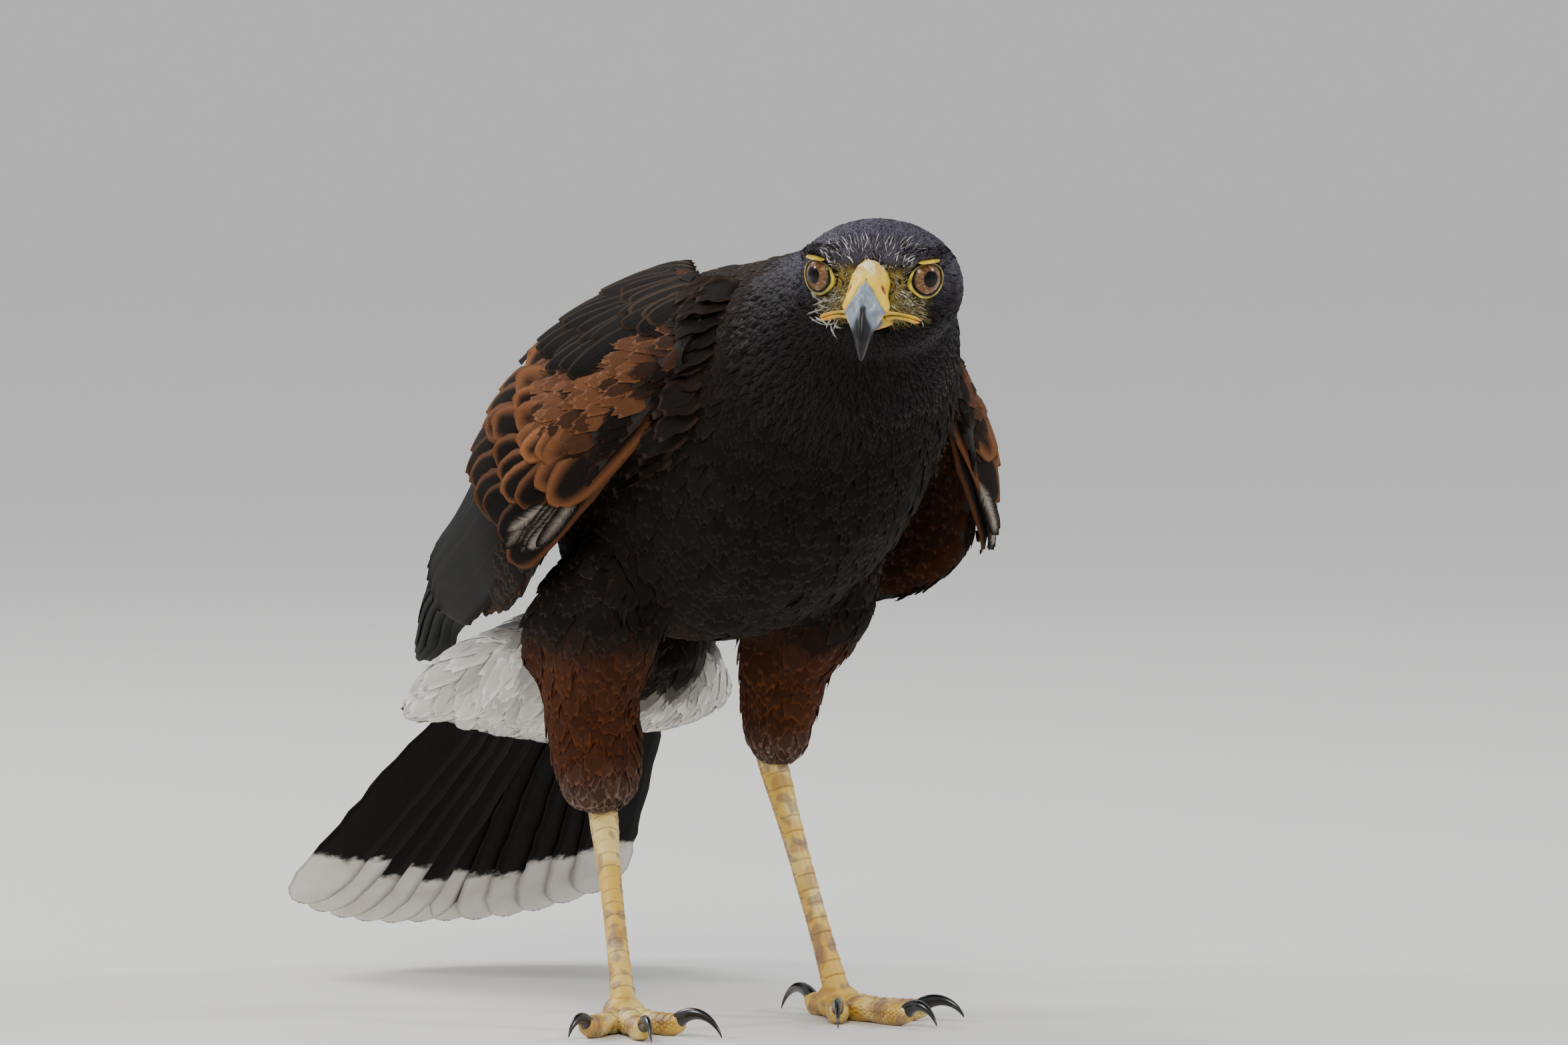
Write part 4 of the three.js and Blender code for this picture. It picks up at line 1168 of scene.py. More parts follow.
# %% [markdown]
# Under the tiers lies the arm itself, a flat body that fills the roof from inside. Its outer face
# carries the small chestnut coverts of the shoulder, its inner face the soft brown lining that shows
# where the left wing hangs away from the body. Both are grown by the feather-laying tree.

# %% The arm and its small feathers
ARM_FROM, ARM_TO = -53.0, 86.0
ROOTS_APART = 3.6 * MM


def covert_line(v):
    """The y at which the small coverts give way to the tiers, at a height v on the face."""
    return -34 + 62 * np.clip((v - 0.12) / 0.66, 0, 1)


def arm(side, rows=36, columns=26):
    """The arm as a closed plate, with normals that point out on both faces."""
    face = wing_face(side)
    s, v = np.meshgrid(np.linspace(0, 1, rows), np.linspace(0, 1, columns), indexing="ij")
    y = ARM_FROM + (ARM_TO - ARM_FROM) * s
    sink = fade(-54, -40, y) * (1.6 + 5.4 * fade(covert_line(v) - 4, covert_line(v) + 26, y))
    top = -sink * (1 - 0.6 * fade(0.85, 1.0, v))
    rear = 1 - fade(30, ARM_TO, y)
    rounded = 0.2 + 0.8 * np.sqrt(np.sin(math.pi * np.clip(v, 0.01, 0.99)))
    depth = 1.5 + (2 + 5 * rear) * rounded + (3 + 10 * rear) * fade(0.45, 0.85, v)
    outer, inner = face(y, v, top), face(y, v, top - depth * np.sin(np.pi * np.clip(s * 8, 0, 0.5)))
    points = np.vstack([outer.reshape(-1, 3), inner[1:-1, 1:-1].reshape(-1, 3)])
    return points, [f[::-side] for f in lens_faces(rows, columns)[0]]


def heights_on(side, bird):
    """The v of the wing's face that is nearest to each point of the bird."""
    rows, highs = np.meshgrid(np.linspace(ARM_FROM, ARM_TO, 60), np.linspace(0, 1, 40), indexing="ij")
    finder = kdtree.KDTree(rows.size)
    for i, point in enumerate(wing_face(side)(rows, highs, 0).reshape(-1, 3)):
        finder.insert(point, i)
    finder.balance()
    return np.array([highs.ravel()[finder.find(p)[1]] for p in bird])


for name, side in SIDES.items():
    points, faces = arm(side)
    plate = build(f"wing_{name}_arm", place(points), faces, skin_material)
    attribute(plate.data, "out", co_of(plate.data, "normal"))
    where, out = scattered(plate.data, lambda p: np.full(len(p), ROOTS_APART))
    bird = (where - shift) / MM
    outer = out[:, 0] * side > -0.25
    v = heights_on(side, bird)
    shown = ~outer | (bird[:, 1] < covert_line(v) + 6) | (v < 0.14)
    where, out, bird, outer, v = where[shown], out[shown], bird[shown], outer[shown], v[shown]
    count = len(where)
    lie = along_skin(np.array([0, 1.0, -0.42]) + rng.normal(0, 0.1, (count, 3)), out)
    strayed = v + rng.normal(0, 0.04, count)
    # Painted shade: darker at the wing's lower edge, at its front, and where the tiers overhang the small
    # coverts. It darkens both the middles and the rims.
    shaded = np.maximum(fade(0.28, 0.12, strayed), fade(-40, -48, bird[:, 1]) * fade(0.75, 0.5, strayed))
    shaded = np.maximum(shaded, fade(-2, 6, bird[:, 1] - covert_line(v)))
    # The dark middles take random dark patches and the painted shade.
    patches_and_shade = np.maximum(0.75 * fade(0.55, 0.9, rng.random(count)), shaded)
    inner, upper = ~outer * 1.0, (outer & (strayed > 0.76)) * 1.0
    data = {
        "out": out,
        "lie": lie,
        "length": np.where(outer, 13.0, 15.0) * rng.uniform(0.85, 1.15, count),
        "width": np.where(outer, 7.5, 9.0) * rng.uniform(0.85, 1.15, count),
        "rise": np.where(outer, 1.5, 1.2) * rng.uniform(0.7, 1.3, count),
        "tone": rng.random(count),
        "rim_width": np.full(count, 0.9),
        "centre": layered(count, "5d3a24", ("120d0a", patches_and_shade), ("3a1d0d", inner), ("14110f", upper)),
        "rim": layered(count, "82563a", ("2c180e", shaded), ("5a3118", inner), ("2e241e", upper)),
    }
    on_map = np.stack([(bird[:, 1] + 60) / 160, 0.05 + v * 0.4 + 0.5 * outer], 1)
    grown = coat(f"wing_{name}_small_coverts", where, data, plate, middle_blade, lining_web, on_map)
    dress(grown, "rufous", f"wing_{name}")
    attribute(plate.data, "centre", layered(len(plate.data.vertices), "15100d"))
    dress(plate, "rufous", f"wing_{name}")

# %% [markdown]
# ## The tail
#
# Twelve feathers fan out from the rump and slope down behind. The middle ones lie on top. They are
# black, with a white band at the end, three centimetres wide, which names this hawk from afar.

# %% The tail's fan
TAIL_LENGTH = 219.0
TAIL_ROOT_HALF, TAIL_TIP_HALF = 22.0, 70.0
TAIL_DISH = 0.0008
TAIL_ROUNDING = 0.1
TAIL_SWING = 1.0
TAIL_STACK = 0.95
TAIL_BAND_MM = 31.0
TAIL_GRID = (24, 7)


def tail_half(far):
    """Half the fan's width at a distance from its root."""
    return TAIL_ROOT_HALF + (TAIL_TIP_HALF - TAIL_ROOT_HALF) * far / TAIL_LENGTH


def tail_face(far, across, lift):
    """A point of the fan, from its distance behind the root and its distance to the left."""
    far, across, lift = np.broadcast_arrays(*(np.asarray(a, float) for a in (far, across, lift)))
    along = np.array([0, math.cos(TAIL_SLOPE), -math.sin(TAIL_SLOPE)])
    above = np.array([0, math.sin(TAIL_SLOPE), math.cos(TAIL_SLOPE)])
    side = across + TAIL_SWING * far / TAIL_LENGTH
    return (
        TAIL_ROOT
        + far[..., None] * along
        + (lift + TAIL_DISH * across**2)[..., None] * above
        + side[..., None] * np.array([1.0, 0, 0])
    )


def banded(material, band_mm, band_colour):
    """Adds a pale band to a feather finish, up to band_mm from the tip, with a frayed front."""
    tree = material.node_tree
    node = partial(add, tree)
    shader = tree.nodes["Principled BSDF"]
    colour = shader.inputs["Base Color"].links[0].from_socket
    tip = node("ShaderNodeAttribute", attribute_name="tip").outputs["Fac"]
    here = node("ShaderNodeTexCoord").outputs["Object"]
    noise = node("ShaderNodeTexNoise", {"Vector": here, "Scale": 260.0})
    frayed = node("ShaderNodeMath", (noise, 9.0, tip), **MULTIPLY_ADD)
    front = (frayed, band_mm + 2.5, band_mm + 7.0, 1.0, 0.0)
    mask = node("ShaderNodeMapRange", front, **SMOOTHSTEP)
    soft = node("ShaderNodeTexNoise", {"Vector": here, "Scale": 60.0})
    cream = node("ShaderNodeMixRGB", (soft, paint("b7ada0"), paint(band_colour)))
    feed(tree, shader, {"Base Color": node("ShaderNodeMixRGB", (mask, colour, cream))})


tail_web = feather_material(
    "tail_feather_keratin", sheen_weight=0.02, shaft="0d0b0a", shaft_mix=0.4, specular=0.05
)
banded(tail_web, TAIL_BAND_MM, "f4f0ea")
fan = []
for i in range(12):
    place_in_fan = (i + 0.5) / 6 - 1  # from -1 on the bird's right to 1
    c = place_in_fan * (6 / 5.5)
    end = TAIL_LENGTH * (1 - TAIL_ROUNDING * place_in_fan * place_in_fan)
    lift = 0.85 - TAIL_STACK * (5.5 - i if i < 6 else i - 5.5)
    shape = long_feather(
        tail_face, (30.0, c * (tail_half(30) - 5)), (end, c * (tail_half(end) - 9.5)),
        (lift - 0.6, lift), 23, bow=rng.normal(0, 0.6), grid=TAIL_GRID,
        form={"shoulder": 0.9, "quill": 0.3, "full": 0.5},
    )
    looks = {
        "tone": rng.random(), "centre": paint("100e0d"), "rim": paint("2a2522"), "rim_width": 0.8,
        "band_shift": rng.normal(0, 2.5),
    }
    fan.append((shape, looks))
dress(plumage("tail_feathers", fan, tail_web, TAIL_GRID), "flight", "tail")

# %% [markdown]
# ## The eyes
#
# A hawk's eye is a ball as wide as a grape, deep in the skull, with a clear bulge in front. The iris
# is amber brown, mottled, with fine fibres that run out from the pupil, and it darkens at its rim.
# The ball here is turned about the line of sight, with rings so fine that each of its points can be
# painted. A clear coat over the paint gives the wet gleam.

# %% Eyeballs
CORNEA_HALF = math.radians(43)  # the bulge in front, as an angle from the line of sight
CORNEA_RADIUS = 7.0
IRIS_HALF = math.radians(40)
PUPIL_HALF = math.radians(17.5)
EYE_TURNS = 180  # points round the line of sight
WAVES = rng.normal(size=(3, 64, 3))
WAVE_STARTS = rng.uniform(0, 2 * math.pi, 64)


def grain(points, size, kind=0):
    """A smooth random field with values near -1 to 1 and patches about as wide as size."""
    waves = WAVES[kind] * 1.6 / size
    return np.sin(np.asarray(points, float) @ waves.T + WAVE_STARTS).sum(1) / 5.7


def wheel_faces(rings, sides, flip):
    """Faces of a closed body of rings, with a point at each end after the rings."""
    faces = []
    for k in range(sides):
        after = (k + 1) % sides
        for i in range(rings - 1):
            a, b = i * sides + k, i * sides + after
            faces.append((a, b, b + sides, a + sides))
        faces.append((rings * sides, after, k))
        faces.append((rings * sides + 1, (rings - 1) * sides + k, (rings - 1) * sides + after))
    return [f[::-1] for f in faces] if flip else faces


def coloured(name, roughness, coat_weight=0.0, specular=0.5, relief=0.0, grain_mm=0.5):
    """A finish whose colour is painted on the points, with an optional fine relief."""
    material, tree, shader = new_material(name)
    tone = add(tree, "ShaderNodeAttribute", attribute_name="centre")
    feed(tree, shader, {
        "Base Color": tone.outputs["Color"],
        "Roughness": roughness,
        "Specular IOR Level": specular,
        "Coat Weight": coat_weight,
        "Coat Roughness": 0.03,
        "Coat IOR": 1.36,
    })
    if relief:
        here = add(tree, "ShaderNodeTexCoord").outputs["Object"]
        bumps = {"Vector": here, "Scale": 1 / (grain_mm * MM), "Detail": 3.0}
        noise = add(tree, "ShaderNodeTexNoise", bumps)
        bump = {"Strength": relief, "Distance": 0.0002, "Height": noise}
        feed(tree, shader, {"Normal": add(tree, "ShaderNodeBump", bump)})
    return material


def coloured_in(piece, base, *layers):
    """Paints a piece's points: a base under layers, each a hex colour and its weight."""
    attribute(piece.data, "centre", layered(len(piece.data.vertices), base, *layers))


cornea = coloured("wet_cornea", roughness=0.3, coat_weight=0.6, specular=0.05)
bulge_start = EYE_RADIUS * math.cos(CORNEA_HALF) - math.sqrt(
    CORNEA_RADIUS**2 - (EYE_RADIUS * math.sin(CORNEA_HALF)) ** 2
)
polar = np.concatenate(
    [np.linspace(0.01, CORNEA_HALF, 84), np.linspace(CORNEA_HALF, math.pi - 0.1, 20)[1:]]
)
turn = np.linspace(0, 2 * math.pi, EYE_TURNS, endpoint=False)
a, b = (g.ravel() for g in np.meshgrid(polar, turn, indexing="ij"))
ahead = bulge_start * np.cos(a)
bulge = ahead + np.sqrt(CORNEA_RADIUS**2 - bulge_start**2 + ahead**2)
reach = np.where(a < CORNEA_HALF, bulge, EYE_RADIUS)
radius = np.append(a, [0, math.pi]) / IRIS_HALF
around = np.append(b, [0, 0])
ring = np.stack([np.cos(around), np.sin(around)], 1)
fibres = grain(np.column_stack([ring * 26, radius * 1.6]), 1.0)
mottle = grain(np.column_stack([ring * 4 * radius[:, None], radius * 3]), 1.0, 1)
flecks = grain(np.column_stack([ring * 9 * radius[:, None], radius * 7]), 1.0, 2)
pupil = PUPIL_HALF / IRIS_HALF
for name, side in SIDES.items():
    sight, front, up = gaze_axes(side)
    ray = (
        np.cos(a)[:, None] * sight
        + (np.sin(a) * np.cos(b))[:, None] * front
        + (np.sin(a) * np.sin(b))[:, None] * up
    )
    ends = [sight * bulge.max(), -sight * EYE_RADIUS]
    points = EYE_AT * [side, 1, 1] + np.vstack([ray * reach[:, None], ends])
    faces = wheel_faces(len(polar), EYE_TURNS, side > 0)
    ball = build(f"eyeball_{name}", place(from_head(points)), faces, cornea)
    coloured_in(
        ball,
        "6a4a30",
        ("97765a", 0.55 * fade(-0.1, 0.9, fibres)),
        ("b3946f", 0.4 * fade(0.15, 0.8, flecks)),
        ("533218", 0.6 * fade(0.15, 0.9, mottle)),
        ("4c3120", 0.7 * fade(0.62, 0.5, radius + 0.03 * fibres)),
        ("1c0d06", fade(0.86, 1.0, radius + 0.02 * fibres)),
        ("0b0705", fade(0.98, 1.06, radius)),
        ("020202", fade(pupil + 0.035, pupil + 0.005, radius)),
    )
    dress(ball, "eye", f"eye_{name}")

# %% [markdown]
# ## The lids
#
# The ball sits in a ring of bare yellow-green skin, the rim of both lids. It is widest at the front,
# where it runs out in a corner towards the bill, and its inner edge is dark and wet. The upper half
# is painted dark, a painted shadow of the brow. Each lid here is a tube swept round the line of
# sight on the ball, so that it always touches the eye.

# %% Lids
LID_OPENING = math.radians(41.5)
LID_TURNS, LID_SIDES = 120, 14  # points round the eye, and round the tube
lid_skin = coloured("lid_skin", roughness=0.45, relief=0.5)
turn = np.linspace(0, 2 * math.pi, LID_TURNS, endpoint=False)
corner = np.exp(-((np.angle(np.exp(1j * (turn + 0.25))) / 0.42) ** 2))
low = fade(0.3, -0.8, np.sin(turn))
half = (0.42 + 0.4 * corner + 0.2 * low) / EYE_RADIUS
centre_at = LID_OPENING + 0.05 * corner - 0.14 * fade(0.35, 1.0, np.sin(turn)) + half
section = np.linspace(0, 2 * math.pi, LID_SIDES, endpoint=False)
theta = (centre_at[:, None] + half[:, None] * np.cos(section)).ravel()[:, None]
high = np.tile(EYE_RADIUS + 0.25 + 0.6 * np.sin(section), LID_TURNS)[:, None]
phi = np.repeat(turn, LID_SIDES)[:, None]
wet = fade(-0.35, -0.95, np.tile(np.cos(section), LID_TURNS))
# The upper half of each lid is painted dark: a painted shadow of the brow.
upper = np.repeat(fade(0.25, 0.75, np.sin(turn)), LID_SIDES)
for name, side in SIDES.items():
    sight, front, up = gaze_axes(side)
    round_it = np.cos(phi) * front + np.sin(phi) * up
    points = (np.cos(theta) * sight + np.sin(theta) * round_it) * high
    points = EYE_AT * [side, 1, 1] + points
    faces = []
    for i in range(LID_TURNS):
        for k in range(LID_SIDES):
            a, b = i * LID_SIDES + k, i * LID_SIDES + (k + 1) % LID_SIDES
            d, c = ((i + 1) % LID_TURNS * LID_SIDES + j % LID_SIDES for j in (k, k + 1))
            faces.append((a, d, c, b) if side > 0 else (a, b, c, d))
    lid = build(f"lid_{name}", place(from_head(points)), faces, lid_skin)
    patch = grain(points, 2.0)
    coloured_in(
        lid,
        "b9a52c",
        ("e3cd3a", fade(-0.2, 0.8, patch)),
        ("74731f", 0.7 * fade(0.1, 1.0, -patch)),
        ("17110a", wet),
        # painted shadow of the brow over the upper lid
        ("2c2718", upper * 0.75),
    )
    dress(lid, "cere")

# %% [markdown]
# ## Bill and cere
#
# The bill is a hooked sheath of horn over bone. It is blue-grey at its root, black at the tip, and
# pale along its cutting edges. Behind it lies the cere, a soft yellow skin with the nostrils in it,
# dry and flaky on top. Both here come from one surface. Under the cere the horn is shrunk, in front
# of it the cere is, so the line where they meet is the line where the two surfaces cross. It slants
# back to the brow and forward along the mouth.

# %% The bill's surface
BILL = [
    (0, -14, 2.6, 6.0, 7.0, 6.0),
    (0, -20, 3.5, 6.1, 8.0, 6.6),
    (0, -25, 3.7, 6.1, 8.4, 7.2),
    (0, -31, 2.4, 6.3, 7.4, 6.9),
    (0, -37, -0.4, 6.6, 6.3, 5.4),
    (0, -42.3, -4.2, 4.9, 5.2, 3.4),
    (0, -46, -8.9, 2.9, 3.8, 2.4),
    (0, -47.8, -13.4, 1.7, 2.3, 1.6),
    (0, -48.2, -17.4, 0.5, 0.6, 0.5),
]
NOSTRIL = np.array([4.6, -35.2, 3.9])
NOSTRIL_LEAN = math.radians(28)


def bill_shape(t, angle):
    """A roof-like section: narrow on the ridge, wide at the cutting edges, flat underneath."""
    up, low = np.maximum(np.sin(angle), 0), np.maximum(-np.sin(angle), 0)
    horn = fade(0.3, 0.5, t)
    wide = 1 - (0.06 + 0.3 * horn) * up**1.5 + horn * 0.84 * low * (1 - low)
    return wide, np.ones_like(wide)


def bill_body(grow):
    """The bill's points, moved out along their normals by grow(points), and its faces."""
    points, faces = loft(BILL, sides=112, rings=150, shape=bill_shape)
    probe = build("probe", points, faces)
    normals = co_of(probe.data, "normal")
    bpy.data.objects.remove(probe)
    return points + normals * grow(points)[:, None], faces, points


def cere_share(points):
    """1 on the cere, 0 on the horn. Seen from the front the horn is a wedge that widens downwards."""
    fray = 0.3 * grain(points, 2.5)
    behind = fade(-0.5, 0.5, points[:, 1] + 35.8 + fray)
    deep = np.maximum(7.4 - points[:, 2], 0)
    half = 0.62 * deep + 0.6 * (1 - np.exp(-deep / 0.5))
    beside = fade(-0.35, 0.35, np.abs(points[:, 0]) - half + fray)
    return np.maximum(behind, beside * fade(-41.5, -40, points[:, 1]))


def nostril_gap(points):
    """0 in the middle of a nostril, 1 at its rim, more outside."""
    offset = (points - NOSTRIL * np.sign(points[:, :1]) ** [1, 0, 0]) * [0.3, 1, 1]
    c, s = math.cos(NOSTRIL_LEAN), math.sin(NOSTRIL_LEAN)
    long_way = offset[:, 1] * s + offset[:, 2] * c
    short_way = offset[:, 1] * c - offset[:, 2] * s
    return np.sqrt((long_way / 1.6) ** 2 + (short_way / 1.0) ** 2 + (offset[:, 0] / 1.5) ** 2)


def cere_height(points):
    """How far the cere stands out from the bill's surface, in mm."""
    gap = nostril_gap(points)
    rim = 0.25 * np.exp(-(((gap - 1.25) / 0.3) ** 2))
    ridge = 0.18 * grain(points, 1.3) * fade(2, 8, points[:, 2])
    return -1.1 + cere_share(points) * (1.35 + ridge) + rim - 1.5 * fade(1.05, 0.5, gap)


def horn_height(points):
    """How far the horn stands out from the bill's surface, in mm."""
    return -0.9 * cere_share(points) + 0.05 * grain(points, 2.0)

# %% [markdown]
# Horn and cere take their colours from the same places on the untouched surface: black down the
# middle of the hook, pale at the cutting edge, flakes on the ridge, and painted shade in the hole of
# each nostril.

# %% Bill and cere
horn = coloured("bill_horn", roughness=0.34, specular=0.3, coat_weight=0.1, relief=0.15, grain_mm=0.4)
points, faces, rest = bill_body(horn_height)
bill = build("bill", place(from_head(points)), faces, horn)
fine = grain(rest * [3, 1, 0.35], 0.8)
blotch = grain(rest, 2.2, 1)
x, y, z = np.abs(rest[:, 0]), rest[:, 1], rest[:, 2]
down = np.maximum(1.0 - z, 0)
middle = fade(0.6 + 0.42 * down, 0.1 + 0.2 * down, x + 0.25 * blotch) * fade(2.2, -1.0, z)
cutting = fade(-2.5, -5.5, z) * fade(3.2, 4.8, x) * fade(-45, -40, y)
coloured_in(
    bill,
    "76828f",
    ("9fabb8", 0.5 * fade(-0.2, 0.9, fine) * fade(-10, 0, z)),
    ("566272", 0.5 * fade(0.2, 1.0, blotch)),
    ("0b0c0f", 0.97 * middle),
    ("d5cda6", 0.85 * cutting * fade(-0.9, 0.4, blotch)),
    ("090a0c", fade(-6.0, -9.5, z) * fade(-38, -42, y)),
)
dress(bill, "horn", "bill_upper")

cere_skin = coloured("cere_skin", roughness=0.5, specular=0.45, relief=0.6, grain_mm=0.6)
points, faces, rest = bill_body(cere_height)
cere = build("cere_hide", place(from_head(points)), faces, cere_skin)
flaky = grain(rest, 1.6) + 0.6 * grain(rest, 0.7, 1)
on_top = fade(7.0, 9.5, rest[:, 2] + 1.2 * grain(rest, 2.0, 2))
gap = nostril_gap(rest)
coloured_in(
    cere,
    "e2b71c",
    ("f0cf3c", 0.6 * fade(-0.2, 1.0, grain(rest, 3.0, 2))),
    ("e9dcb4", on_top * fade(-0.9, 0.5, flaky)),
    ("cf9d62", 0.5 * on_top * fade(0.6, 1.4, -flaky)),
    ("c2702c", fade(1.25, 0.95, gap)),
    # The hole of each nostril is painted near black: painted shade inside it.
    ("1c0e06", fade(1.02, 0.78, gap)),
)
dress(cere, "cere", "cere")

# %% [markdown]
# The lower half of the bill hides behind the hook, and only its yellow root shows. From the bill a
# pair of fleshy lips runs back on each side to the corner of the mouth, orange at their ends.

# %% Lower bill and the corners of the mouth
LOWER_BILL = [
    (0, -12, -8, 9.5, 2.6, 3),
    (0, -20, -7.6, 8.2, 3.4, 3),
    (0, -31, -6.8, 6.0, 3.0, 3.2),
    (0, -38, -7, 3.6, 2, 2.2),
    (0, -41, -7.4, 1.6, 1, 1),
]
UPPER_LIP = [
    (5.4, -31.5, -3.9, 0.9, 1.0, 0.8),
    (8.6, -28.4, -4.3, 1.0, 0.6, 0.5),
    (12.0, -25.6, -5.2, 1.1, 0.55, 0.5),
    (14.8, -23.0, -6.3, 1.0, 0.55, 0.5),
    (16.2, -21.4, -7.0, 0.4, 0.4, 0.4),
]
LOWER_LIP = [
    (5.6, -30.5, -5.7, 0.9, 0.8, 0.9),
    (8.8, -27.7, -5.7, 1.0, 0.5, 0.55),
    (12.0, -25.0, -6.5, 1.0, 0.5, 0.5),
    (14.6, -22.6, -7.6, 0.9, 0.5, 0.5),
    (15.8, -21.4, -7.9, 0.4, 0.3, 0.3),
]


def on_head(name, parts):
    """One piece of bare yellow skin from lofts in the head's frame, and its points there."""
    piece = joined(name, [(place(from_head(points)), faces) for points, faces in parts], cere_skin)
    return piece, np.vstack([points for points, _ in parts])


parts = [loft(LOWER_BILL, sides=48, rings=50)]
for side in SIDES.values():
    for stations in (UPPER_LIP, LOWER_LIP):
        parts.append(loft(mirror(stations, side), sides=20, rings=48))
lower, rest = on_head("mouth", parts)
at_corner = fade(11, 14.5, np.abs(rest[:, 0])) * fade(-1, 0.5, grain(rest, 1.5, 1))
coloured_in(
    lower,
    "d2a82a",
    ("8d7d2e", 0.5 * fade(0.0, 1.0, grain(rest, 2.0))),
    ("d98a10", 0.8 * at_corner),
    ("3b4048", fade(-31, -36, rest[:, 1])),
)
dress(lower, "cere", "bill_lower")

# %% [markdown]
# Over each eye a shelf of bone juts out and gives the hawk its frown. Its bare edge shows as a yellow
# strip above the outer half of the eye.

# %% Brow strips
BROW_STRIP = [
    (15.6, -21.6, 11.7, 0.4, 0.15, 0.15),
    (17.2, -20.9, 11.9, 1.5, 0.3, 0.4),
    (19.0, -19.4, 12.1, 2.0, 0.45, 0.55),
    (20.4, -17.4, 12.2, 1.8, 0.45, 0.6),
    (21.4, -15.6, 12.3, 0.6, 0.3, 0.3),
]
parts = [loft(mirror(BROW_STRIP, side), sides=20, rings=40) for side in SIDES.values()]
strips, rest = on_head("brow_strips", parts)
coloured_in(strips, "e0c02a", ("a07f1c", 0.7 * fade(0, 1, grain(rest, 1.2))))
dress(strips, "cere")

# %% [markdown]
# ## Bristles and fine face feathers
#
# Between bill and eye a hawk has no feathers but bristles, straw-coloured, that stand off a yellow
# skin. Round the front of each eye they run out in a white fringe. Single white shafts streak the
# forehead. Stiff dark feathers overhang the brow. Most are blades a third of a millimetre wide,
# laid by the same tree.

# %% Face plumage
FACE_EYE_LIMIT = 53  # degrees off the line of sight, within which no bristle may reach


def sown(share, spacing, mm, looks, spread=0.2, way=None):
    """Fine feathers where share(points) is over a half. mm holds length, width and rise."""

    def gap(points):
        return np.where(share((points - shift) / MM) > 0.5, spacing * MM, np.inf)

    where, out = scattered(skin.data, gap)
    bird = (where - shift) / MM
    kept = share(bird) > 0.5
    where, out, bird = where[kept], out[kept], bird[kept]
    count = len(bird)
    length, width, rise = (size * rng.uniform(0.75, 1.25, count) for size in mm)
    lie = lie_of(bird, out, zones(bird, out)) if way is None else np.repeat([way], count, 0)
    lie = along_skin(lie + rng.normal(0, spread, (count, 3)), out)
    centre = layered(count, looks[0], (looks[1], rng.random(count)))
    kept = free_of_eyes(bird, lie, length, FACE_EYE_LIMIT)
    data = {
        "out": out, "lie": lie, "length": length, "width": width, "rise": rise,
        "tone": rng.random(count), "rim_width": np.full(count, 0.05), "centre": centre, "rim": centre,
    }
    return where[kept], {key: values[kept] for key, values in data.items()}


def around_eyes(points, low, high):
    """1 in front of and under the eyes, at angles from low to high off the line of sight."""
    part = np.zeros(len(points))
    for side in SIDES.values():
        offset, reach, aside = seen_from_eye(to_head(points), side)
        ring = (np.degrees(aside) > low) & (np.degrees(aside) < high) & (reach < 13)
        ahead = offset @ gaze_axes(side)[1]
        part = np.maximum(part, ring & (offset[:, 2] < 3.5) & (ahead > -3 - 0.8 * offset[:, 2]))
    return part


def on_forehead(points):
    """Where single white shafts streak the forehead."""
    x, y, z = to_head(points).T
    return (np.abs(x) < 15) & (y < -14) & (z > 8.5) & (z < 17.5)


def on_brow(points):
    """The edge of the brow, from over the bill to the back of the eye."""
    x, y, z = to_head(points).T
    return (np.abs(x) > 9) & (y > -27) & (y < -4) & (z > 11.2) & (z < 15.2)


def at_gape(points):
    """The right corner of the mouth, where white down hangs."""
    return np.linalg.norm(to_head(points) - [-14.5, -19, -6.0], axis=1) < 5.5


FACE_GROUPS = [
    sown(lambda p: zones(p, p)["lore"], 0.58, (2.3, 0.34, 1.4), ("6a5a20", "ddd3ae"), 0.4),
    sown(lambda p: around_eyes(p, 60, 88), 0.75, (3.2, 0.34, 1.3), ("8f8a80", "f2efe8"), 0.3),
    sown(on_forehead, 1.3, (4.6, 0.33, 1.3), ("5d5860", "dedbd8"), 0.22),
    sown(on_brow, 1.0, (5.0, 1.0, 1.2), ("211d20", "4b464e"), 0.14),
    sown(at_gape, 1.5, (6.0, 0.5, 2.2), ("c9c6c0", "f4f2ee"), 0.55, (-0.9, 0.1, -0.25)),
]
print("fine feathers of the face:", [len(places) for places, _ in FACE_GROUPS])
where = np.vstack([places for places, _ in FACE_GROUPS])
data = {key: np.concatenate([data[key] for _, data in FACE_GROUPS]) for key in FACE_GROUPS[0][1]}
grown = coat(
    "coat_face", where, data, skin, fine_blade, contour_web, unwrap((where - shift) / MM),
    sink=-0.1, thickness=0.09, cup=0.0, ruffle=0.5,
)
dress(grown, "plumage")

# %% [markdown]
# The feathers at the side of the breast stand off a little and close over the front edge of each
# wing, so that no hard edge shows where wing and body meet.

# %% Feathers over the wing's edge
SHOULDER_REACH = 15.0
BATCH = 4000  # points compared with the edges at a time, to spare memory
edges = []
for side in SIDES.values():
    face = wing_face(side)
    edges.append(face(np.linspace(-50, 20, 60), 0.02, -4))
    edges.append(face(-49.0, np.linspace(0, 1, 40), -4))
edges = np.vstack(edges)


def by_the_wing(points):
    """1 on the body where the front and lower edge of a wing is near."""
    near = np.zeros(len(points), bool)
    for start in range(0, len(points), BATCH):
        gap = np.linalg.norm(points[start : start + BATCH, None] - edges[None], axis=2).min(1)
        near[start : start + BATCH] = gap < SHOULDER_REACH
    return near


where, data = sown(by_the_wing, 4.2, (20.0, 12.0, 7.5), ("171310", "241c17"), 0.15)
bird = (where - shift) / MM
outward = np.sign(bird[:, :1]) * [0.55, 0, 0]
data["lie"] = along_skin(unit(data["lie"] + outward), data["out"])
data["rim"] = layered(len(where), "3a2c24")
data["rim_width"] = np.full(len(where), 1.2)
grown = coat("coat_shoulders", where, data, skin, large_blade, contour_web, unwrap(bird))
dress(grown, "plumage")

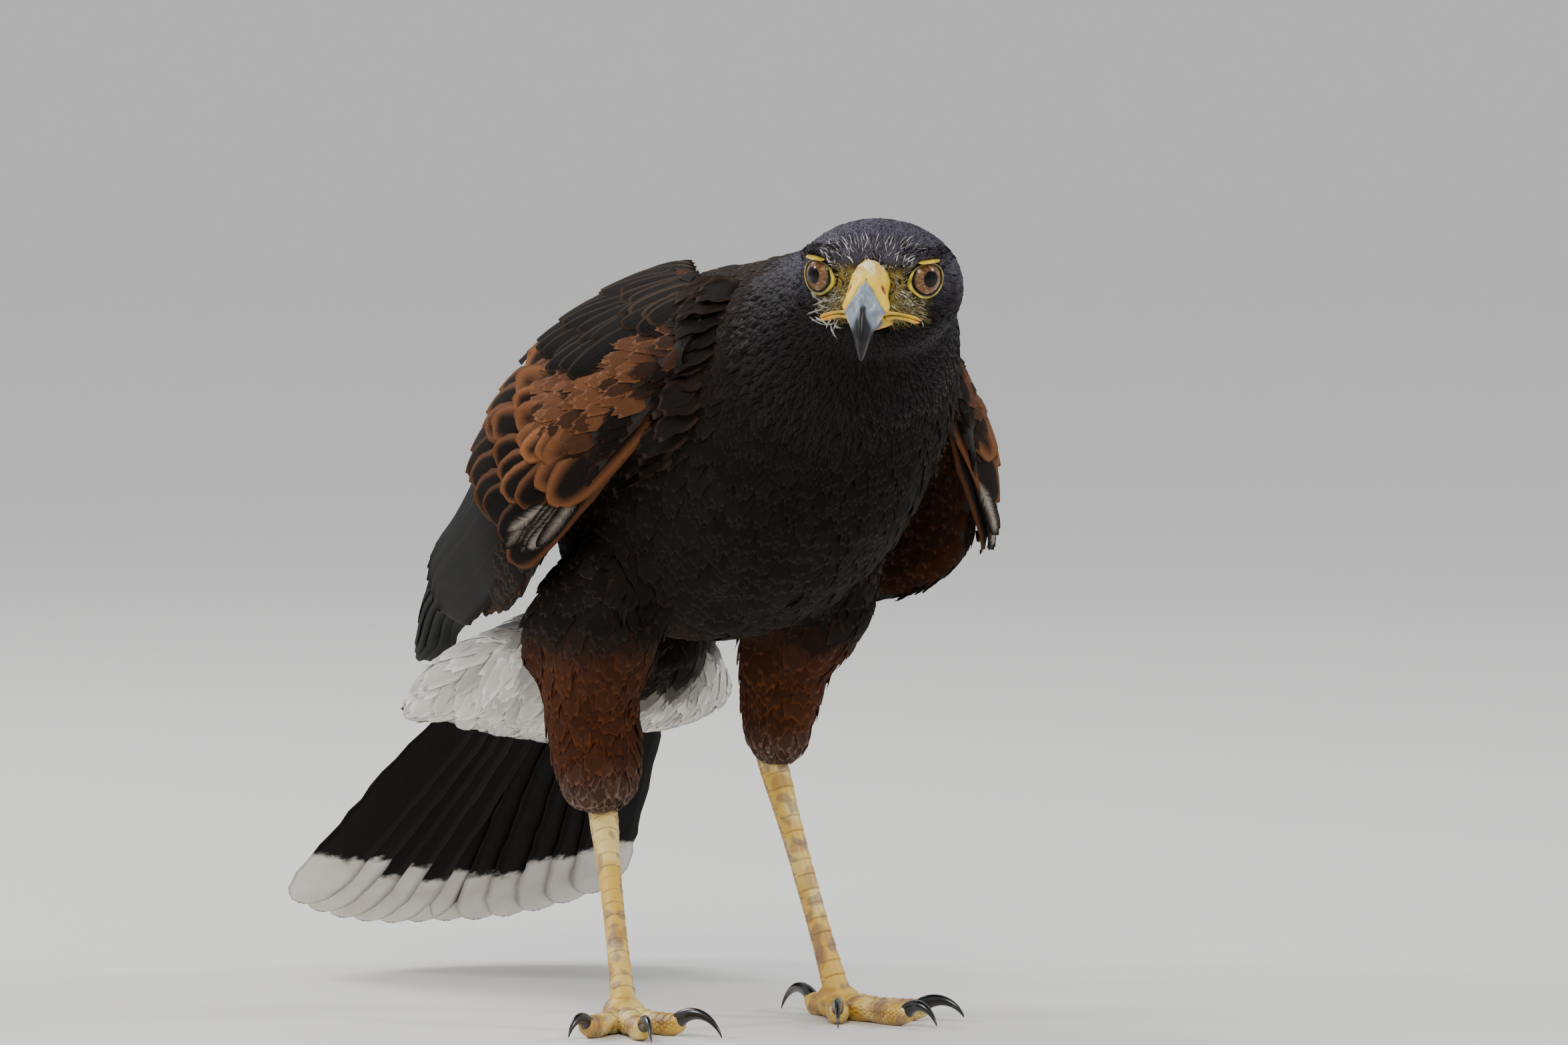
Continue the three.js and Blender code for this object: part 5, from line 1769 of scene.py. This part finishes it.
# %% [markdown]
# ## Legs and feet
#
# A hawk's shank is bare and scaly. Broad plates overlap like roof tiles down its front and along the
# top of each toe, and small scales pave its sides and back. The lofts below carry both: a saw-tooth
# profile for the plates, and a staggered net of little domes for the paving. The skin is yellow,
# with a violet-brown bloom in places. Pads swell under the joints of the toes, and the toes lie on
# the ground with small flats.

# %% Scales
LEGS = {
    "right": {"ankle": (-31, 56, 69), "toes": (-45, 6, 8.5), "turn": -14},
    "left": {"ankle": (32, 55, 84), "toes": (41, 22, 8.5), "turn": 12},
}
SHANK_WIDTHS = [4.9, 4.7, 4.1, 3.75, 3.6, 3.55, 3.6, 3.9, 4.5]  # half widths from ankle to toes
PLATES_ON_SHANK = 17
PAVING_MM = 1.7
PAVED_ROUND = 4.0  # mm of paving for one radian


def paving(along, around):
    """Little domes in staggered rows, from -1 in the grooves to 1, at places given in mm."""
    row = np.floor(along / PAVING_MM)
    v = along / PAVING_MM - row - 0.5
    u = (around / PAVING_MM + 0.5 * (row % 2)) % 1 - 0.5
    return 1 - 2 * np.clip(np.maximum(np.abs(u) * 2, np.abs(v) * 2) ** 4, 0, 1)


def scaly_loft(stations, length, count, front_from, step, dome, edge_from, sides, rings):
    """A loft with plates where it faces front or up, and paving elsewhere.

    A plate is a saw tooth that grows along it and drops at its end. Gives the points, the
    faces, and how deep in a groove each point lies, from 0 to 1."""

    def shape(t, angle):
        part = (t * count) % 1
        plate = part**1.6 * fade(1.0, 0.9, part)
        front = fade(front_from, front_from + 0.12, np.sin(angle))
        small = paving(t * length, angle * PAVED_ROUND)
        grow = 1 + front * step * (plate - 0.3) + (1 - front) * dome * small
        return grow, grow

    points, faces = loft(stations, sides, rings, shape)
    t = np.append(np.repeat(np.linspace(0, 1, rings), sides), [0, 1])
    angle = np.append(np.tile(np.linspace(0, 2 * math.pi, sides, endpoint=False), rings), [0, 0])
    front = fade(front_from, front_from + 0.12, np.sin(angle))
    edge = fade(edge_from, 0.98, (t * count) % 1)
    between = fade(0.2, -0.8, paving(t * length, angle * PAVED_ROUND))
    return points, faces, front * edge + (1 - front) * between


def leg_skin_colours(points, grooves):
    """Yellow skin, paler in patches, with a bloom of violet brown; grooves are darker."""
    return (
        "d9b04a",
        ("ecd58c", 0.7 * fade(-0.3, 0.9, grain(points, 9.0))),
        ("a5794a", 0.6 * fade(0.25, 1.1, grain(points, 4.5, 1))),
        ("6d5560", 0.55 * fade(0.55, 1.2, grain(points, 3.0, 2))),
        ("7a5a26", 0.75 * grooves),
    )


leg_skin = coloured("scaly_leg_skin", roughness=0.42, specular=0.45, relief=0.35)
for name, leg in LEGS.items():
    ankle, toes = np.array(leg["ankle"], float), np.array(leg["toes"], float)
    start = ankle - 0.08 * (toes - ankle)
    stations = []
    for i, half in enumerate(SHANK_WIDTHS):
        s = i / (len(SHANK_WIDTHS) - 1)
        stations.append((*(start + (toes - start) * s), half, half * 1.16, half * 1.16))
    points, faces, grooves = scaly_loft(
        stations, np.linalg.norm(toes - start), PLATES_ON_SHANK, 0.25, 0.075, 0.02, 0.88, 72, 200
    )
    shank = build(f"shank_{name}", place(points), faces, leg_skin)
    coloured_in(shank, *leg_skin_colours(points, grooves))
    dress(shank, "skin", f"tarsus_{name}")

# %% [markdown]
# Three toes point forward and one back. The inner and the hind toe carry the largest claws, which
# are the hawk's weapons: black, glossy, round above and hollow below, each a quarter of a circle.

# %% Toes and claws
TOE_ROWS = [
    (0, 6.0, 4.4, 3.6, 4.4),
    (0.15, 5.4, 4.5, 3.7, 5.2),
    (0.3, 5.0, 4.3, 3.5, 5.5),
    (0.48, 4.6, 3.5, 3.1, 4.3),
    (0.62, 4.5, 3.6, 3.1, 4.6),
    (0.78, 4.5, 3.9, 3.0, 5.0),
    (0.9, 4.7, 3.3, 2.8, 4.2),
    (1, 4.8, 2.6, 2.3, 3.2),
]
TOES = [  # turn is in degrees, outwards from the middle toe where side is -1
    {"name": "inner", "side": 1, "turn": 36, "length": 27, "claw": 24, "plates": 8},
    {"name": "middle", "side": 0, "turn": 0, "length": 41, "claw": 20, "plates": 14},
    {"name": "outer", "side": -1, "turn": 33, "length": 32, "claw": 18, "plates": 10},
    {"name": "hind", "side": 0, "turn": 172, "length": 19, "claw": 27, "plates": 6},
]
KNUCKLE = [
    (0, 6, 6.2, 2, 2, 2),
    (0, 3, 6.4, 6.6, 5.6, 6.4),
    (0, -3, 6.2, 6.8, 5.4, 6.3),
    (0, -7, 5.6, 4, 3, 5),
]
CLAW_RISE, CLAW_FALL = math.radians(38), math.radians(-62)
SOLE = 0.03  # mm over the floor, under which nothing reaches


def turned_about_z(points, degrees):
    """Points turned about the upright axis."""
    return np.asarray(points, float) @ np.array(Euler((0, 0, math.radians(degrees))).to_matrix()).T


def toe_parts(toe):
    """A toe's points, faces and grooves, pointing forward from the foot's middle."""
    stations = [(0, -s * toe["length"], z, half, up, down) for s, z, half, up, down in TOE_ROWS]
    return scaly_loft(stations, toe["length"], toe["plates"], 0.35, 0.1, 0.025, 0.86, 56, 96)


def claw_parts(toe):
    """A claw's points and faces: it rises from the toe's end and curves down to the floor."""
    radius = toe["claw"] / (CLAW_RISE - CLAW_FALL)
    stations = []
    for t in np.arange(13) / 12:
        angle = CLAW_RISE + (CLAW_FALL - CLAW_RISE) * t
        out = radius * (math.sin(CLAW_RISE) - math.sin(angle))
        up = radius * (math.cos(angle) - math.cos(CLAW_RISE))
        half = 2.15 * (1 - t) ** 0.85 + 0.12
        stations.append((0, 1.5 - toe["length"] - out, 5 + up, half, half * 1.3, half * 1.15))
    return loft(stations, sides=32, rings=70)


claw_horn = coloured("claw_horn", roughness=0.22, coat_weight=0.3)
for name, leg in LEGS.items():
    flesh, claws, grooves = [], [], []

    def stand(points, degrees=0.0):
        """Points of a toe on the floor, turned and moved to their place under the shank."""
        stood = turned_about_z(turned_about_z(points, degrees), leg["turn"])
        stood = stood + np.array([leg["toes"][0], leg["toes"][1], 0])
        stood[:, 2] = np.maximum(stood[:, 2], SOLE)
        return stood

    for toe in TOES:
        degrees = toe["turn"] if toe["name"] == "hind" else -SIDES[name] * toe["side"] * toe["turn"]
        points, faces, groove = toe_parts(toe)
        flesh.append((stand(points, degrees), faces))
        grooves.append(groove)
        points, faces = claw_parts(toe)
        claws.append((stand(points, degrees), faces))
    points, faces, _ = scaly_loft(KNUCKLE, 13, 5, 0.35, 0.03, 0.025, 0.86, 56, 50)
    flesh.append((stand(points), faces))
    grooves.append(np.zeros(len(points)))
    points = np.vstack([p for p, _ in flesh])
    foot = joined(f"toes_{name}", [(place(p), f) for p, f in flesh], leg_skin)
    # The toes turn darker and browner in their lowest two millimetres, where they meet the floor.
    darker_near_floor = ("8f7a52", 0.6 * fade(2.2, 0.4, points[:, 2]))
    coloured_in(foot, *leg_skin_colours(points, np.concatenate(grooves)), darker_near_floor)
    dress(foot, "skin", f"foot_{name}")
    points = np.vstack([p for p, _ in claws])
    talons = joined(f"talons_{name}", [(place(p), f) for p, f in claws], claw_horn)
    coloured_in(talons, "101013", ("3a3a40", 0.5 * fade(0.2, 1.2, grain(points, 3.0))))
    dress(talons, "claw", *(f"claw_{name}_{toe['name']}" for toe in TOES))

# %% [markdown]
# The skin takes the same markings and the same painted sheen as the feathers over it, so that no gap
# between two feathers shows another colour. It stands for all the flesh solids, and for the coverts round
# the tail.

# %% Skin colours
bird = (skin_co - shift) / MM
zone = zones(bird, skin_normals)
attribute(skin.data, "centre", markings_and_sheen(bird, skin_normals, zone)[0])
dress(skin, "plumage", *SKIN_NODES, "undertail_coverts", "uppertail_coverts")

# %% [markdown]
# ## The studio
#
# The floor is a wide plate that curves up all round into a wall, like the paper sweep of a studio,
# so that no line shows behind the bird. The sky above is even. A large soft lamp hangs in front of
# the bird, one behind draws its rim, and a small one on each side puts a light in each eye.

# %% Floor and light
FLOOR_TURNS = 96  # corners round the floor
FLAT_TO, BEND, WALL = 7, 5, 9  # metres: the flat's radius, the curve's, and the wall's height
floor_material, tree, shader = new_material("studio_floor_paint")
feed(tree, shader, {"Base Color": paint("e9e7e3"), "Roughness": 0.85})
bend = np.linspace(0, math.pi / 2, 24)
curve = zip(FLAT_TO + BEND * np.sin(bend), BEND - BEND * np.cos(bend))
profile = [(0.05, 0), *curve, (FLAT_TO + BEND, WALL)]
turn = np.linspace(0, 2 * math.pi, FLOOR_TURNS, endpoint=False)
sweep = [(r * math.cos(a), r * math.sin(a), z) for r, z in profile for a in turn]
faces = [tuple(range(FLOOR_TURNS))]
for i in range(len(profile) - 1):
    for k in range(FLOOR_TURNS):
        a, b = i * FLOOR_TURNS + k, i * FLOOR_TURNS + (k + 1) % FLOOR_TURNS
        faces.append((a, a + FLOOR_TURNS, b + FLOOR_TURNS, b))
floor = build("floor", sweep, faces, floor_material)

world = bpy.data.worlds.new("studio")
bpy.context.scene.world = world
world.use_nodes = True
sky = world.node_tree.nodes["Background"]
feed(world.node_tree, sky, {"Color": paint("dfe3e8"), "Strength": 1.1})
LAMPS = {
    "key": ((-0.9, -2.0, 1.6), 0.8, 28, "fff8ee"),
    "left": ((-1.7, 0.5, 1.2), 0.4, 13, "ffffff"),
    "right": ((1.6, -0.9, 1.2), 0.4, 13, "f4f8ff"),
    "back": ((-0.6, 1.6, 1.6), 1.0, 22, "ffffff"),
}
LAMPS_AIM = Vector((0, -0.05, 0.17))
for name, (at, width, power, tint) in LAMPS.items():
    lamp_data = bpy.data.lights.new(name, "AREA")
    lamp_data.shape = "DISK"
    lamp_data.size = width
    lamp_data.energy = power
    lamp_data.color = paint(tint)[:3]
    lamp = bpy.data.objects.new(name, lamp_data)
    bpy.context.scene.collection.objects.link(lamp)
    lamp.location = at
    lamp.rotation_euler = (LAMPS_AIM - lamp.location).to_track_quat("-Z", "Y").to_euler()
print("lamps:", list(LAMPS))

# %% [markdown]
# The blades that the tree copied have done their work and go.

# %% Finish
for blade in (middle_blade, large_blade, fine_blade):
    bpy.data.objects.remove(blade)
